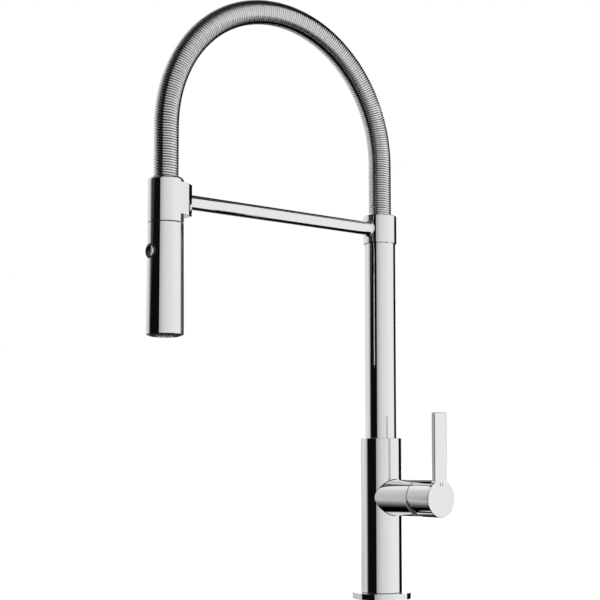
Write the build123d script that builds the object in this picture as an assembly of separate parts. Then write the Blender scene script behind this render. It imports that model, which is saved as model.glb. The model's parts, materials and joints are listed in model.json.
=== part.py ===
from build123d import *
import math
import os

# Pull-out kitchen faucet, in millimetres.
# The origin is the centre of the base where it stands on the worktop. +Z is up,
# the spout points along -Y and the lever stands out along +X.

# Body with its side barrel
BODY_D = 35.0
BODY_H = 132.4
BODY_WALL = 2.5
BODY_FOOT_WALL = 1.1
BODY_LIP_H = 2.2
BODY_LIP_GAP = 0.35
BODY_EDGE = 0.4
BARREL_HEIGHT = 81.5
BARREL_D = 30.8
BARREL_WALL = 1.4
BARREL_END = 47.3

# Base and worktop fixing
FLANGE_RIM = 7.5
FLANGE_H = 5.2
FLANGE_EDGE = 0.7
BASE_SEAL_W = 5.2
BASE_SEAL_H = 2.6
SHANK_WALL = 1.6
SHANK_DROP = 52.0
SHANK_INSERT = 10.0
WORKTOP = 30.0
WASHER_RIM = 10.6
RUBBER_WASHER_H = 3.0
STEEL_WASHER_H = 2.0
FIXING_NUT_WALL = 4.1
FIXING_NUT_H = 9.0

# Valve core
CORE_FOOT_H = 3.0
CORE_ABOVE_CARTRIDGE = 5.0
CORE_SEAT = 12.5
INLET_BORE = 6.9
INLET_DEPTH = 12.0
INLET_ANGLE = 60.0
CHANNEL_D = 4.4
CHANNEL_WALL = 0.5
PORT_ANGLE = 39.0
PORT_MARGIN = 0.4

# Mixing cartridge
CARTRIDGE_STANDOFF = 0.2
CARTRIDGE_STEP = 1.5
CARTRIDGE_NECK_STEP = 1.6
CARTRIDGE_NECK_L = 6.5
CARTRIDGE_WALL = 1.9
NUT_L = 9.3
NUT_DOME_L = 4.0
NUT_MOUTH_GAP = 0.4
DISC_SEAT = 11.3
DISC_T = 4.0
MOVING_DISC_T = 3.0
MIXING_POCKET_D = 10.8
PORT_SEAL_W = 0.8
PORT_SEAL_T = 1.2
ROTOR_FLOOR = 8.2
ROTOR_PAST_PIN = 2.5
STEM_SIZE = 7.0
STEM_TAIL = 5.0
STEM_L = 21.5
STEM_PIN_D = 2.5
STEM_PIN_INSET = 1.0

# Lever
CAP_PROUD = 0.1
CAP_WALL = 1.7
CAP_GAP = 0.6
CAP_L = 25.5
CAP_END_WALL = 7.3
CAP_RELIEF = 6.0
CAP_RELIEF_DEPTH = 9.5
CAP_EDGE = 0.35
HUB_D = 16.0
HUB_L = 8.0
BLADE_T = 3.8
BLADE_W = 14.2
BLADE_RISE = 71.5
BLADE_ROOT_R = 3.0
BLADE_CORNER_R = 0.7
MARK_W = 0.8
MARK_H = 2.6
MARK_DEPTH = 0.3
MARK_SPACING = 2.4
MARK_RISE = 11.8
LEVER_SCREW_D = 5.0
LEVER_SCREW_L = 6.0

# Column and swivel
COLUMN_WALL = 1.8
COLUMN_SHOWN = 170.5
COLUMN_INSERT = 5.0
THRUST_WASHER_H = 1.5
THRUST_WASHER_W = 5.5
SLIDE_RING_W = 1.75
SLIDE_RING_SHARE = 0.27
SWIVEL_GROOVE_H = 3.6
SWIVEL_GROOVE_DEPTH = 0.9
SWIVEL_SCREW_D = 5.0
SWIVEL_TIP_D = 2.8

# Collar and arm
COLLAR_WALL = 1.15
COLLAR_H = 25.0
COLLAR_EDGE = 0.5
ARM_RISE = 12.9
ARM_D = 11.5
ARM_FILLET = 4.0
COLLAR_SCREW_D = 4.0
REACH = 225.5

# Spring arch and hose
HOSE_D = 12.0
HOSE_WALL = 2.2
HOSE_GUIDE_GAP = 0.5
HOSE_BELOW_SHANK = 8.0
HOSE_TAIL_TOP = 8.0
SPRING_GAP = 2.1
SPRING_WIRE = 1.8
SPRING_SEAT = 5.0
LEG_RISE = 45.4
CONNECTOR_WALL = 1.3
CONNECTOR_SLEEVE_W = 0.4
CONNECTOR_L = 18.0
CONNECTOR_NUT_L = 9.0
CONNECTOR_THREAD_WALL = 1.6
CONNECTOR_FLAT_DEPTH = 0.6
CONNECTOR_FLAT_H = 6.0

# Docking holder
DOCK_D = 28.1
DOCK_WALL = 2.85
DOCK_ABOVE_ARM = 16.5
DOCK_BELOW_ARM = 19.3
DOCK_RIM_R = 3.2
DOCK_SEAT = 5.5
DOCK_BORE_L = 22.0
BLOCK_PAST_DOCK = 3.45
BLOCK_END_W = 17.0
BLOCK_END_R = 2.0
BLOCK_H = 25.2
PLATE_T = 2.3
PLATE_INSET = 0.5
PLATE_R = 1.2
ARM_SCREW_D = 5.0
ARM_SCREW_HEAD_D = 8.0
ARM_SCREW_HEAD_H = 3.0
ARM_SCREW_SOCKET = 4.0
ARM_SCREW_L = 14.0
SLEEVE_WALL = 1.85
SLEEVE_INSET = 0.4

# Spray head
SPRAY_GAP = 0.3
SPRAY_L = 86.5
SPRAY_TOP_D = 28.0
SPRAY_BOTTOM_D = 29.3
SPRAY_WALL = 1.7
SPRAY_ROOF = 3.0
SPRAY_EDGE = 0.3
SPRAY_CORE_GAP = 0.8
SPRAY_CORE_BASE = 11.0
NECK_RISE = 6.2
WATERWAY_D = 6.0
SPIGOT_WALL = 2.0
SPIGOT_RISE = 5.0
CHECK_VALVE_D = 10.2
CHECK_VALVE_L = 10.0
CHECK_VALVE_BORE = 5.0
CHECK_VALVE_FLOOR = 3.0
STRAINER_T = 1.4
STRAINER_INSET = 2.1
STRAINER_HOLE_D = 2.0
STRAINER_HOLES = 6
STRAINER_CIRCLE = 6.2
DOCK_RING_PROUD = 0.25
DOCK_RING_W = 1.6
DOCK_RING_DROP = 1.6
HOSE_NUT_H = 13.5
HOSE_NUT_SHOULDER_H = 6.7
HOSE_NUT_STEP = 0.4
FERRULE_WALL = 0.6
FERRULE_L = 6.0
INLET_SEAL_T = 1.5

# Spray button and diverter
BUTTON_DROP = 22.5
BUTTON_D = 7.8
BUTTON_RING_W = 2.2
BUTTON_RING_PROUD = 0.6
BUTTON_RING_EDGE = 0.35
BUTTON_PROUD = 0.4
BUTTON_DOME_R = 1.0
BUTTON_TRAVEL = 2.0
SPOOL_STEP = 0.1
SPOOL_L = 15.0
SPOOL_GROOVE = 1.2
SPOOL_FRONT_RING = 5.2
SPOOL_BACK_RING = 12.0
SPOOL_BORE_WALL = 2.0
BUTTON_SPRING_STEP = 0.8
BUTTON_SPRING_W = 1.0
BUTTON_SPRING_L = 4.0

# Spray face
FACE_H = 6.0
FACE_PROUD = 0.8
FACE_CLEAR = 0.15
FACE_EDGE = 0.4
AERATOR_D = 14.6
AERATOR_H = 8.0
AERATOR_RECESS = 0.6
AERATOR_SEAL_H = 1.6
AERATOR_SEAL_W = 2.0
NOZZLE_COUNT = 24
NOZZLE_D = 1.5
NOZZLE_H = 0.5
MESH_HOLE_D = 1.5
MESH_HOLE_L = 2.6
MESH_PITCH = 2.3
MESH_COUNT = 5

# Clearances
FIT = 0.05
RUNNING = 0.04
LOOSE = 0.3
CUT = 1.0

# Diameters that follow from the sizes above
body_bore = BODY_D - 2 * BODY_WALL
shank_d = BODY_D - 2 * BODY_FOOT_WALL
shank_bore = shank_d - 2 * SHANK_WALL
flange_d = BODY_D + 2 * FLANGE_RIM
base_seal_d = (flange_d + shank_d) / 2
washer_d = shank_d + 2 * WASHER_RIM
column_d = body_bore - 2 * SLIDE_RING_W
collar_d = column_d + 2 * COLLAR_WALL
hose_bore = HOSE_D - 2 * HOSE_WALL
ferrule_d = HOSE_D + 2 * FERRULE_WALL
connector_d = HOSE_D + 2 * CONNECTOR_WALL
hose_passage = ferrule_d + 2 * LOOSE
core_hose_bore = HOSE_D + 2 * HOSE_GUIDE_GAP
inlet_radius = (core_hose_bore + body_bore) / 4
spring_bore = HOSE_D + 2 * SPRING_GAP
spring_d = spring_bore + 2 * SPRING_WIRE
nut_thread_d = BARREL_D - 2 * BARREL_WALL
cartridge_d = nut_thread_d - 2 * CARTRIDGE_STEP
cartridge_neck_d = cartridge_d - 2 * CARTRIDGE_NECK_STEP
disc_d = cartridge_neck_d - 2 * CARTRIDGE_WALL
port_radius = disc_d / 2 - CHANNEL_D / 2 - PORT_MARGIN
port_seal_d = CHANNEL_D + 2 * PORT_SEAL_W
nut_mouth_d = disc_d + 2 * NUT_MOUTH_GAP
cap_d = BARREL_D + 2 * CAP_PROUD
nut_dome_d = cap_d - 2 * CAP_WALL - 2 * LOOSE
dock_bore = DOCK_D - 2 * DOCK_WALL
sleeve_d = dock_bore - 2 * FIT
sleeve_bore = sleeve_d - 2 * SLEEVE_WALL
neck_d = sleeve_bore - 2 * LOOSE
dock_ring_d = neck_d + 2 * DOCK_RING_PROUD
dock_groove_d = dock_ring_d - 2 * DOCK_RING_W
hose_nut_d = neck_d - 2 * LOOSE
spigot_d = WATERWAY_D + 2 * SPIGOT_WALL
chamber_d = CHECK_VALVE_D + 2 * FIT
spray_core_d = SPRAY_TOP_D - 2 * SPRAY_WALL - 2 * SPRAY_CORE_GAP
button_ring_d = BUTTON_D + 2 * BUTTON_RING_W
spool_d = BUTTON_D - 2 * SPOOL_STEP
face_d = SPRAY_BOTTOM_D - 2 * SPRAY_WALL - 2 * FACE_CLEAR

# Places that follow from the sizes above
body_top = FLANGE_H + BODY_H
barrel_z = FLANGE_H + BARREL_HEIGHT
core_bottom = FLANGE_H + SHANK_INSERT
core_top = barrel_z + cartridge_d / 2 + CORE_ABOVE_CARTRIDGE
cartridge_back = CORE_SEAT + CARTRIDGE_STANDOFF
cartridge_shoulder = BARREL_END - NUT_L
cartridge_front = cartridge_shoulder + CARTRIDGE_NECK_L
disc_back = cartridge_back + DISC_SEAT
moving_back = disc_back + DISC_T
rotor_back = moving_back + MOVING_DISC_T
pivot_x = BARREL_END
cap_back = BARREL_END + CAP_GAP
cap_front = cap_back + CAP_L
cap_floor = cap_front - CAP_END_WALL
stem_back = pivot_x - STEM_TAIL
lever_screw_x = cap_floor - HUB_L / 2
column_bottom = core_top + THRUST_WASHER_H
bearing_top = body_top - BODY_LIP_H
slide_ring_h = SLIDE_RING_SHARE * (bearing_top - column_bottom)
groove_z = (column_bottom + bearing_top) / 2
collar_bottom = body_top + COLUMN_SHOWN
collar_top = collar_bottom + COLLAR_H
column_top = collar_bottom + COLUMN_INSERT
arm_z = collar_bottom + ARM_RISE
arch_z = collar_top + LEG_RISE
spring_foot = collar_top - SPRING_SEAT
spray_y = -REACH
dock_top = arm_z + DOCK_ABOVE_ARM
dock_bottom = arm_z - DOCK_BELOW_ARM
spring_end = dock_top - DOCK_SEAT
block_reach = DOCK_D / 2 + BLOCK_PAST_DOCK
plate_y = spray_y + block_reach
arm_y = plate_y + PLATE_T
head_seat_y = spray_y + dock_bore / 2 + ARM_SCREW_HEAD_H
spray_top = dock_bottom - SPRAY_GAP
spray_bottom = spray_top - SPRAY_L
core_base = spray_bottom + SPRAY_CORE_BASE
core_front_y = spray_y - spray_core_d / 2
spool_bore_y = spray_y + spray_core_d / 2 - SPOOL_BORE_WALL
neck_top = spray_top + NECK_RISE
strainer_top = neck_top - STRAINER_INSET
check_valve_top = strainer_top - STRAINER_T
check_valve_bottom = check_valve_top - CHECK_VALVE_L
dock_ring_z = neck_top - DOCK_RING_DROP - DOCK_RING_W
spigot_top = neck_top + SPIGOT_RISE
hose_nut_top = neck_top + HOSE_NUT_H
ferrule_top = hose_nut_top + FERRULE_L
hose_join = dock_top + HOSE_TAIL_TOP
hose_foot = -SHANK_DROP - HOSE_BELOW_SHANK
button_z = spray_top - BUTTON_DROP
spool_front_y = core_front_y
spool_back_y = spool_front_y + SPOOL_L
face_z = spray_bottom - FACE_PROUD
aerator_z = face_z + AERATOR_RECESS
washer_top = -WORKTOP
nut_top = washer_top - RUBBER_WASHER_H - STEEL_WASHER_H


def disc(diameter, z0, z1, x=0.0, y=0.0):
    """Upright cylinder between two heights."""
    return Pos(x, y, (z0 + z1) / 2) * Cylinder(diameter / 2, z1 - z0)


def ring(outer, inner, z0, z1, x=0.0, y=0.0):
    """Upright tube between two heights."""
    return disc(outer, z0, z1, x, y) - disc(inner, z0 - CUT, z1 + CUT, x, y)


def rod_x(diameter, x0, x1, y=0.0, z=None):
    """Cylinder along X, on the barrel axis unless a height is given."""
    height = barrel_z if z is None else z
    return Pos((x0 + x1) / 2, y, height) * Rot(0, 90, 0) * Cylinder(diameter / 2, x1 - x0)


def rod_y(diameter, y0, y1, x=0.0, z=0.0):
    """Cylinder along Y."""
    return Pos(x, (y0 + y1) / 2, z) * Rot(90, 0, 0) * Cylinder(diameter / 2, y1 - y0)


def block(x0, x1, y0, y1, z0, z1):
    """Box between six planes."""
    return Pos((x0 + x1) / 2, (y0 + y1) / 2, (z0 + z1) / 2) * Box(x1 - x0, y1 - y0, z1 - z0)


def drilled(start, end, diameter):
    """Cylinder from one point to another, to cut a drilled channel."""
    path = Line(start, end)
    plane = Plane(origin=start, z_dir=path.tangent_at(0))
    return extrude(plane * Circle(diameter / 2), path.length)


def taper(d0, d1, z0, z1, y):
    """Upright cone between two heights."""
    return Pos(0, y, (z0 + z1) / 2) * Cone(d0 / 2, d1 / 2, z1 - z0)


def hexagon(across_flats):
    """Hexagon across its flats."""
    return RegularPolygon(across_flats / 2, 6, major_radius=False)


def round_edges(part, z):
    """The circular edges of a part at one height."""
    return part.edges().filter_by(GeomType.CIRCLE).filter_by_position(Axis.Z, z - FIT, z + FIT)


def grub_screw(diameter, length, tip_d=None, tip_l=0.0):
    """Grub screw whose outer end lies on the XY plane, with its tip below."""
    screw = Pos(0, 0, -length / 2) * Cylinder(diameter / 2, length)
    if tip_d is not None:
        screw += Pos(0, 0, -length - tip_l / 2) * Cylinder(tip_d / 2, tip_l)
    return screw - extrude(hexagon(diameter / 2), -length / 2)


def arch_tube(outer, inner, foot_z, end_z):
    """Tube that rises from the column, turns over in a half circle and drops to the dock."""
    section = Pos(0, 0, arch_z) * (Circle(outer / 2) - Circle(inner / 2))
    turn_axis = Axis((0, -REACH / 2, arch_z), (1, 0, 0))
    bend = revolve(section, turn_axis, 180)
    return ring(outer, inner, foot_z, arch_z) + bend + ring(outer, inner, end_z, arch_z, 0, spray_y)


# Base and worktop fixing


def base_flange():
    plate = ring(flange_d, shank_d + 2 * FIT, 0, FLANGE_H)
    outer_edge = round_edges(plate, FLANGE_H).sort_by(SortBy.RADIUS)[-1]
    plate = chamfer(outer_edge, FLANGE_EDGE)
    return plate - ring(base_seal_d + BASE_SEAL_W, base_seal_d - BASE_SEAL_W, -CUT, BASE_SEAL_H)


def base_seal():
    outer = base_seal_d + BASE_SEAL_W - 2 * FIT
    inner = base_seal_d - BASE_SEAL_W + 2 * FIT
    return ring(outer, inner, 0, BASE_SEAL_H)


def threaded_shank():
    return ring(shank_d, shank_bore, -SHANK_DROP, core_bottom)


def rubber_washer():
    return ring(washer_d, shank_d + 2 * LOOSE, washer_top - RUBBER_WASHER_H, washer_top)


def steel_washer():
    outer = washer_d - 2 * CUT
    return ring(outer, shank_d + 2 * LOOSE, nut_top, nut_top + STEEL_WASHER_H)


def fixing_nut():
    nut = Pos(0, 0, nut_top - FIXING_NUT_H) * extrude(hexagon(shank_d + 2 * FIXING_NUT_WALL), FIXING_NUT_H)
    return nut - disc(shank_d + 2 * FIT, nut_top - FIXING_NUT_H - CUT, nut_top + CUT)


# Body, valve core and swivel bearings


def swivel_screw_place():
    """Outer end of the swivel screw, on the side away from the lever."""
    return Pos(-BODY_D / 2 + BODY_EDGE, 0, groove_z) * Rot(0, -90, 0)


def body_housing():
    outer = disc(BODY_D, FLANGE_H, body_top)
    outer = chamfer(round_edges(outer, body_top), BODY_EDGE)
    barrel = rod_x(BARREL_D, 0, BARREL_END)
    barrel = chamfer(barrel.edges().filter_by(GeomType.CIRCLE).sort_by(Axis.X)[-1], BODY_EDGE)
    body = outer + barrel
    body -= disc(body_bore, FLANGE_H - CUT, bearing_top)
    body -= disc(column_d + 2 * BODY_LIP_GAP, bearing_top - CUT, body_top + CUT)
    body -= disc(shank_d + 2 * FIT, FLANGE_H - CUT, core_bottom + CORE_FOOT_H)
    body -= rod_x(cartridge_d + 2 * FIT, CORE_SEAT, BARREL_END + CUT)
    body -= rod_x(nut_thread_d, cartridge_shoulder, BARREL_END + CUT)
    screw_hole = Pos(0, 0, -BODY_D / 4) * Cylinder(SWIVEL_SCREW_D / 2, BODY_D / 2 + CUT)
    return body - swivel_screw_place() * screw_hole


def inlet_points():
    """Hot, cold and mixed water sockets round the hose bore."""
    side = math.radians(INLET_ANGLE)
    x = inlet_radius * math.cos(side)
    y = inlet_radius * math.sin(side)
    return [(x, -y), (x, y), (inlet_radius, 0.0)]


def port_points():
    """Hot, cold and mixed water ports on the cartridge seat, as (y, z)."""
    side = port_radius * math.cos(math.radians(PORT_ANGLE))
    high = barrel_z + port_radius * math.sin(math.radians(PORT_ANGLE))
    return [(-side, high), (side, high), (0.0, barrel_z - port_radius)]


def valve_core():
    core = disc(body_bore - 2 * FIT, core_bottom, core_top)
    core += disc(shank_d, core_bottom, core_bottom + CORE_FOOT_H)
    core -= disc(core_hose_bore, core_bottom - CUT, core_top + CUT)
    core -= rod_x(cartridge_d + 4 * FIT, CORE_SEAT, BODY_D)
    channel_limit = CORE_SEAT - CHANNEL_D / 2 - CHANNEL_WALL
    for (x, y), (port_y, port_z) in zip(inlet_points(), port_points()):
        channel_x = min(x, channel_limit)
        core -= disc(INLET_BORE, core_bottom - CUT, core_bottom + INLET_DEPTH, x, y)
        core -= disc(CHANNEL_D, core_bottom, port_z, channel_x, y)
        core -= drilled((channel_x, y, port_z), (CORE_SEAT + CUT, port_y, port_z), CHANNEL_D)
    return core


def thrust_washer():
    outer = body_bore - 2 * FIT
    return ring(outer, outer - 2 * THRUST_WASHER_W, core_top, column_bottom)


def slide_ring(z0):
    """Plastic bearing ring between the body and the column."""
    return ring(body_bore - 2 * FIT, column_d + 2 * RUNNING, z0, z0 + slide_ring_h)


def lower_slide_ring():
    return slide_ring(column_bottom + LOOSE)


def upper_slide_ring():
    return slide_ring(bearing_top - slide_ring_h)


def swivel_screw():
    length = BODY_D / 2 - BODY_EDGE - column_d / 2 - LOOSE
    screw = grub_screw(SWIVEL_SCREW_D - 2 * FIT, length, SWIVEL_TIP_D, SWIVEL_GROOVE_DEPTH)
    return swivel_screw_place() * screw


# Mixing cartridge


def cartridge_body():
    body = rod_x(cartridge_d, cartridge_back, cartridge_shoulder)
    body += rod_x(cartridge_neck_d, cartridge_shoulder, cartridge_front)
    body -= rod_x(disc_d + 2 * FIT, disc_back, cartridge_front + CUT)
    for port_y, port_z in port_points():
        body -= rod_x(CHANNEL_D, cartridge_back - CUT, disc_back + CUT, port_y, port_z)
        body -= rod_x(port_seal_d, cartridge_back - CUT, CORE_SEAT + PORT_SEAL_T, port_y, port_z)
    return body


def port_seals():
    seals = []
    for port_y, port_z in port_points():
        seal = rod_x(port_seal_d - 2 * FIT, CORE_SEAT, CORE_SEAT + PORT_SEAL_T, port_y, port_z)
        seals.append(seal - rod_x(CHANNEL_D, 0, BARREL_END, port_y, port_z))
    return Compound(seals)


def fixed_disc():
    plate = rod_x(disc_d, disc_back, moving_back)
    for port_y, port_z in port_points():
        plate -= rod_x(CHANNEL_D - 2 * LOOSE, 0, BARREL_END, port_y, port_z)
    return plate


def moving_disc():
    plate = rod_x(disc_d - 2 * FIT, moving_back, rotor_back)
    return plate - rod_x(MIXING_POCKET_D, moving_back - CUT, moving_back + MOVING_DISC_T / 2)


def rotor():
    body = rod_x(disc_d - 2 * RUNNING, rotor_back, pivot_x + ROTOR_PAST_PIN)
    slot_half = STEM_SIZE / 2 + 2 * FIT
    body -= block(rotor_back + ROTOR_FLOOR, cap_front, -slot_half, slot_half, 0, 2 * barrel_z)
    return body - rod_y(STEM_PIN_D + 2 * FIT, -disc_d, disc_d, pivot_x, barrel_z)


def stem_pin():
    half = disc_d / 2 - STEM_PIN_INSET
    return rod_y(STEM_PIN_D, -half, half, pivot_x, barrel_z)


def nut_dome():
    """Rounded end of the cartridge nut, centred on the lever's pivot."""
    radius = nut_dome_d / 2
    middle = math.asin(NUT_DOME_L / radius) / 2
    base = (0, radius)
    tip = (NUT_DOME_L, math.sqrt(radius**2 - NUT_DOME_L**2))
    arc = ThreePointArc(base, (radius * math.sin(middle), radius * math.cos(middle)), tip)
    sides = Polyline(tip, (NUT_DOME_L, 0), (0, 0), base)
    dome = revolve(Plane.XZ * make_face([arc, sides]), Axis.X, 360)
    return Pos(pivot_x, 0, barrel_z) * dome


def cartridge_nut():
    nut = rod_x(nut_thread_d - 2 * FIT, cartridge_shoulder, BARREL_END) + nut_dome()
    nut -= rod_x(cartridge_neck_d + 2 * FIT, cartridge_shoulder - CUT, cartridge_front)
    return nut - rod_x(nut_mouth_d, cartridge_shoulder, BARREL_END + NUT_DOME_L + CUT)


# Lever


def lever_stem():
    half = STEM_SIZE / 2
    stem = block(stem_back, stem_back + STEM_L, -half, half, barrel_z - half, barrel_z + half)
    return stem - rod_y(STEM_PIN_D + 2 * RUNNING, -STEM_SIZE, STEM_SIZE, pivot_x, barrel_z)


def mark_inlay(side, proud=0.0):
    """Small upright inlay on the lever's face, beside its centre line."""
    y = side * MARK_SPACING / 2
    z = barrel_z + MARK_RISE
    back = cap_front - MARK_DEPTH
    return block(back, cap_front + proud, y - MARK_W / 2, y + MARK_W / 2, z - MARK_H / 2, z + MARK_H / 2)


def hot_mark():
    return mark_inlay(-1)


def cold_mark():
    return mark_inlay(1)


def lever_plate():
    """Flat front plate: the round end of the cap with the upright blade."""
    outline = Circle(cap_d / 2) + Pos(0, BLADE_RISE / 2) * Rectangle(BLADE_W, BLADE_RISE)
    root_height = math.sqrt((cap_d / 2) ** 2 - (BLADE_W / 2) ** 2)
    root = outline.vertices().filter_by_position(Axis.Y, root_height - FIT, root_height + FIT)
    outline = fillet(root, BLADE_ROOT_R)
    top = outline.vertices().filter_by_position(Axis.Y, BLADE_RISE - FIT, BLADE_RISE + FIT)
    outline = fillet(top, BLADE_CORNER_R)
    face_plane = Plane(origin=(cap_front, 0, barrel_z), x_dir=(0, 1, 0), z_dir=(1, 0, 0))
    return extrude(face_plane * outline, -BLADE_T)


def cap_relief():
    """Wedge cut from the cap's lower rim, so that it clears the barrel as the lever tips."""
    low = barrel_z - cap_d
    outline = Polyline(
        (cap_back - CUT, barrel_z),
        (cap_back, barrel_z),
        (cap_back + CAP_RELIEF, barrel_z - CAP_RELIEF_DEPTH),
        (cap_back + CAP_RELIEF, low),
        (cap_back - CUT, low),
        close=True,
    )
    return extrude(Plane.XZ * make_face(outline), cap_d, both=True)


def lever_handle():
    cap = rod_x(cap_d, cap_back, cap_front - BLADE_T) + lever_plate()
    front_edges = cap.edges().filter_by_position(Axis.X, cap_front - FIT, cap_front + FIT)
    cap = chamfer(front_edges, CAP_EDGE)
    cap -= rod_x(cap_d - 2 * CAP_WALL, cap_back - CUT, cap_floor)
    cap += rod_x(HUB_D, cap_floor - HUB_L, cap_floor)
    half = STEM_SIZE / 2 + FIT
    stem_end = stem_back + STEM_L
    cap -= block(0, stem_end + LOOSE, -half, half, barrel_z - half, barrel_z + half)
    cap -= cap_relief()
    cap -= rod_y(LEVER_SCREW_D, 0, cap_d, lever_screw_x, barrel_z)
    return cap - mark_inlay(-1, CUT) - mark_inlay(1, CUT)


def lever_screw():
    place = Pos(lever_screw_x, STEM_SIZE / 2 + LEVER_SCREW_L, barrel_z) * Rot(-90, 0, 0)
    return place * grub_screw(LEVER_SCREW_D - 2 * FIT, LEVER_SCREW_L)


# Column, collar with arm, spring arch and hose


def column_tube():
    tube = ring(column_d, column_d - 2 * COLUMN_WALL, column_bottom, column_top)
    low = groove_z - SWIVEL_GROOVE_H / 2
    high = groove_z + SWIVEL_GROOVE_H / 2
    return tube - ring(column_d + CUT, column_d - 2 * SWIVEL_GROOVE_DEPTH, low, high)


def collar_screw_place():
    """Outer end of the collar screw, at the back of the collar."""
    return Pos(0, collar_d / 2 - COLLAR_EDGE, collar_bottom + COLUMN_INSERT / 2) * Rot(-90, 0, 0)


def collar_arm():
    collar = disc(collar_d, collar_bottom, collar_top)
    collar = chamfer(round_edges(collar, collar_bottom) + round_edges(collar, collar_top), COLLAR_EDGE)
    joined = collar + rod_y(ARM_D, arm_y, 0, 0, arm_z)
    saddle = [e for e in joined.edges() if e.geom_type not in (GeomType.CIRCLE, GeomType.LINE)]
    joined = fillet(saddle, ARM_FILLET)
    joined -= disc(column_d + 2 * FIT, collar_bottom - CUT, column_top)
    joined -= disc(hose_passage, collar_bottom, collar_top + CUT)
    joined -= disc(spring_d + 2 * FIT, spring_foot, collar_top + CUT)
    joined -= rod_y(ARM_SCREW_D, arm_y - CUT, head_seat_y + ARM_SCREW_L + CUT, 0, arm_z)
    screw_hole = Pos(0, 0, -collar_d / 8) * Cylinder(COLLAR_SCREW_D / 2, collar_d / 4)
    return joined - collar_screw_place() * screw_hole


def collar_screw():
    length = collar_d / 2 - COLLAR_EDGE - column_d / 2 - FIT
    return collar_screw_place() * grub_screw(COLLAR_SCREW_D - 2 * FIT, length)


def spring_coil():
    return arch_tube(spring_d, spring_bore, spring_foot, spring_end)


def inner_hose():
    return arch_tube(HOSE_D, hose_bore, hose_foot, hose_join)


def hose_connector():
    foot = hose_foot - CONNECTOR_L
    body = disc(connector_d, foot, foot + CONNECTOR_NUT_L)
    flat = connector_d / 2 - CONNECTOR_FLAT_DEPTH
    for side in (-1, 1):
        low, high = sorted((side * flat, side * connector_d))
        body -= block(low, high, -connector_d, connector_d, foot - CUT, foot + CONNECTOR_FLAT_H)
    body += disc(HOSE_D + 2 * CONNECTOR_SLEEVE_W, foot + CONNECTOR_NUT_L, hose_foot)
    body -= disc(connector_d - 2 * CONNECTOR_THREAD_WALL, foot - CUT, foot + CONNECTOR_NUT_L)
    return body - disc(hose_bore, foot - CUT, hose_foot + CUT)


# Docking holder


def dock_outline():
    """Plan of the block that reaches from the round holder to the arm."""
    radius = DOCK_D / 2
    end_x = BLOCK_END_W / 2
    far = math.hypot(end_x, block_reach)
    touch = math.atan2(block_reach, end_x) - math.acos(radius / far)
    touch_x = radius * math.cos(touch)
    touch_y = radius * math.sin(touch)
    corners = [(-touch_x, touch_y), (touch_x, touch_y), (end_x, block_reach), (-end_x, block_reach)]
    face = make_face(Polyline(*corners, close=True))
    ends = face.vertices().filter_by_position(Axis.Y, block_reach - FIT, block_reach + FIT)
    return Pos(0, spray_y) * fillet(ends, BLOCK_END_R)


def dock_housing():
    body = disc(DOCK_D, dock_bottom, dock_top, 0, spray_y)
    body = fillet(round_edges(body, dock_top), DOCK_RIM_R)
    body += Pos(0, 0, arm_z - BLOCK_H / 2) * extrude(dock_outline(), BLOCK_H)
    body -= disc(spring_d + 2 * FIT, spring_end, dock_top + CUT, 0, spray_y)
    body -= disc(hose_passage, dock_bottom, dock_top, 0, spray_y)
    body -= disc(dock_bore, dock_bottom - CUT, dock_bottom + DOCK_BORE_L, 0, spray_y)
    body -= rod_y(ARM_SCREW_D + 2 * FIT, spray_y, arm_y, 0, arm_z)
    return body - rod_y(ARM_SCREW_HEAD_D + 2 * FIT, spray_y, head_seat_y, 0, arm_z)


def arm_screw():
    head_y = head_seat_y - ARM_SCREW_HEAD_H + LOOSE
    screw = rod_y(ARM_SCREW_HEAD_D, head_y, head_seat_y, 0, arm_z)
    screw += rod_y(ARM_SCREW_D - 2 * FIT, head_seat_y, head_seat_y + ARM_SCREW_L, 0, arm_z)
    socket = extrude(hexagon(ARM_SCREW_SOCKET), -ARM_SCREW_HEAD_H / 2)
    return screw - Pos(0, head_y, arm_z) * Rot(90, 0, 0) * socket


def arm_plate():
    outline = fillet(Rectangle(BLOCK_END_W - 2 * PLATE_INSET, BLOCK_H).vertices(), PLATE_R)
    plane = Plane(origin=(0, plate_y, arm_z), x_dir=(-1, 0, 0), z_dir=(0, 1, 0))
    plate = extrude(plane * outline, PLATE_T)
    return plate - rod_y(ARM_SCREW_D + 2 * FIT, plate_y - CUT, arm_y + CUT, 0, arm_z)


def dock_sleeve():
    top = dock_bottom + DOCK_BORE_L - SLEEVE_INSET
    return ring(sleeve_d, sleeve_bore, dock_bottom + SLEEVE_INSET, top, 0, spray_y)


# Spray head


def spray_radius(z):
    """Outer radius of the tapered spray head at one height."""
    share = (spray_top - z) / SPRAY_L
    return (SPRAY_TOP_D + (SPRAY_BOTTOM_D - SPRAY_TOP_D) * share) / 2


def spray_shell():
    shell = taper(SPRAY_BOTTOM_D, SPRAY_TOP_D, spray_bottom, spray_top, spray_y)
    shell = chamfer(round_edges(shell, spray_bottom) + round_edges(shell, spray_top), SPRAY_EDGE)
    wall = 2 * SPRAY_WALL
    shell -= taper(SPRAY_BOTTOM_D - wall, SPRAY_TOP_D - wall, spray_bottom, spray_top - SPRAY_ROOF, spray_y)
    shell -= disc(SPRAY_BOTTOM_D - wall, spray_bottom - CUT, spray_bottom + CUT, 0, spray_y)
    shell -= disc(neck_d + 2 * FIT, spray_top - SPRAY_ROOF - CUT, spray_top + CUT, 0, spray_y)
    return shell - rod_y(button_ring_d, spray_y - SPRAY_TOP_D, core_front_y, 0, button_z)


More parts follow.
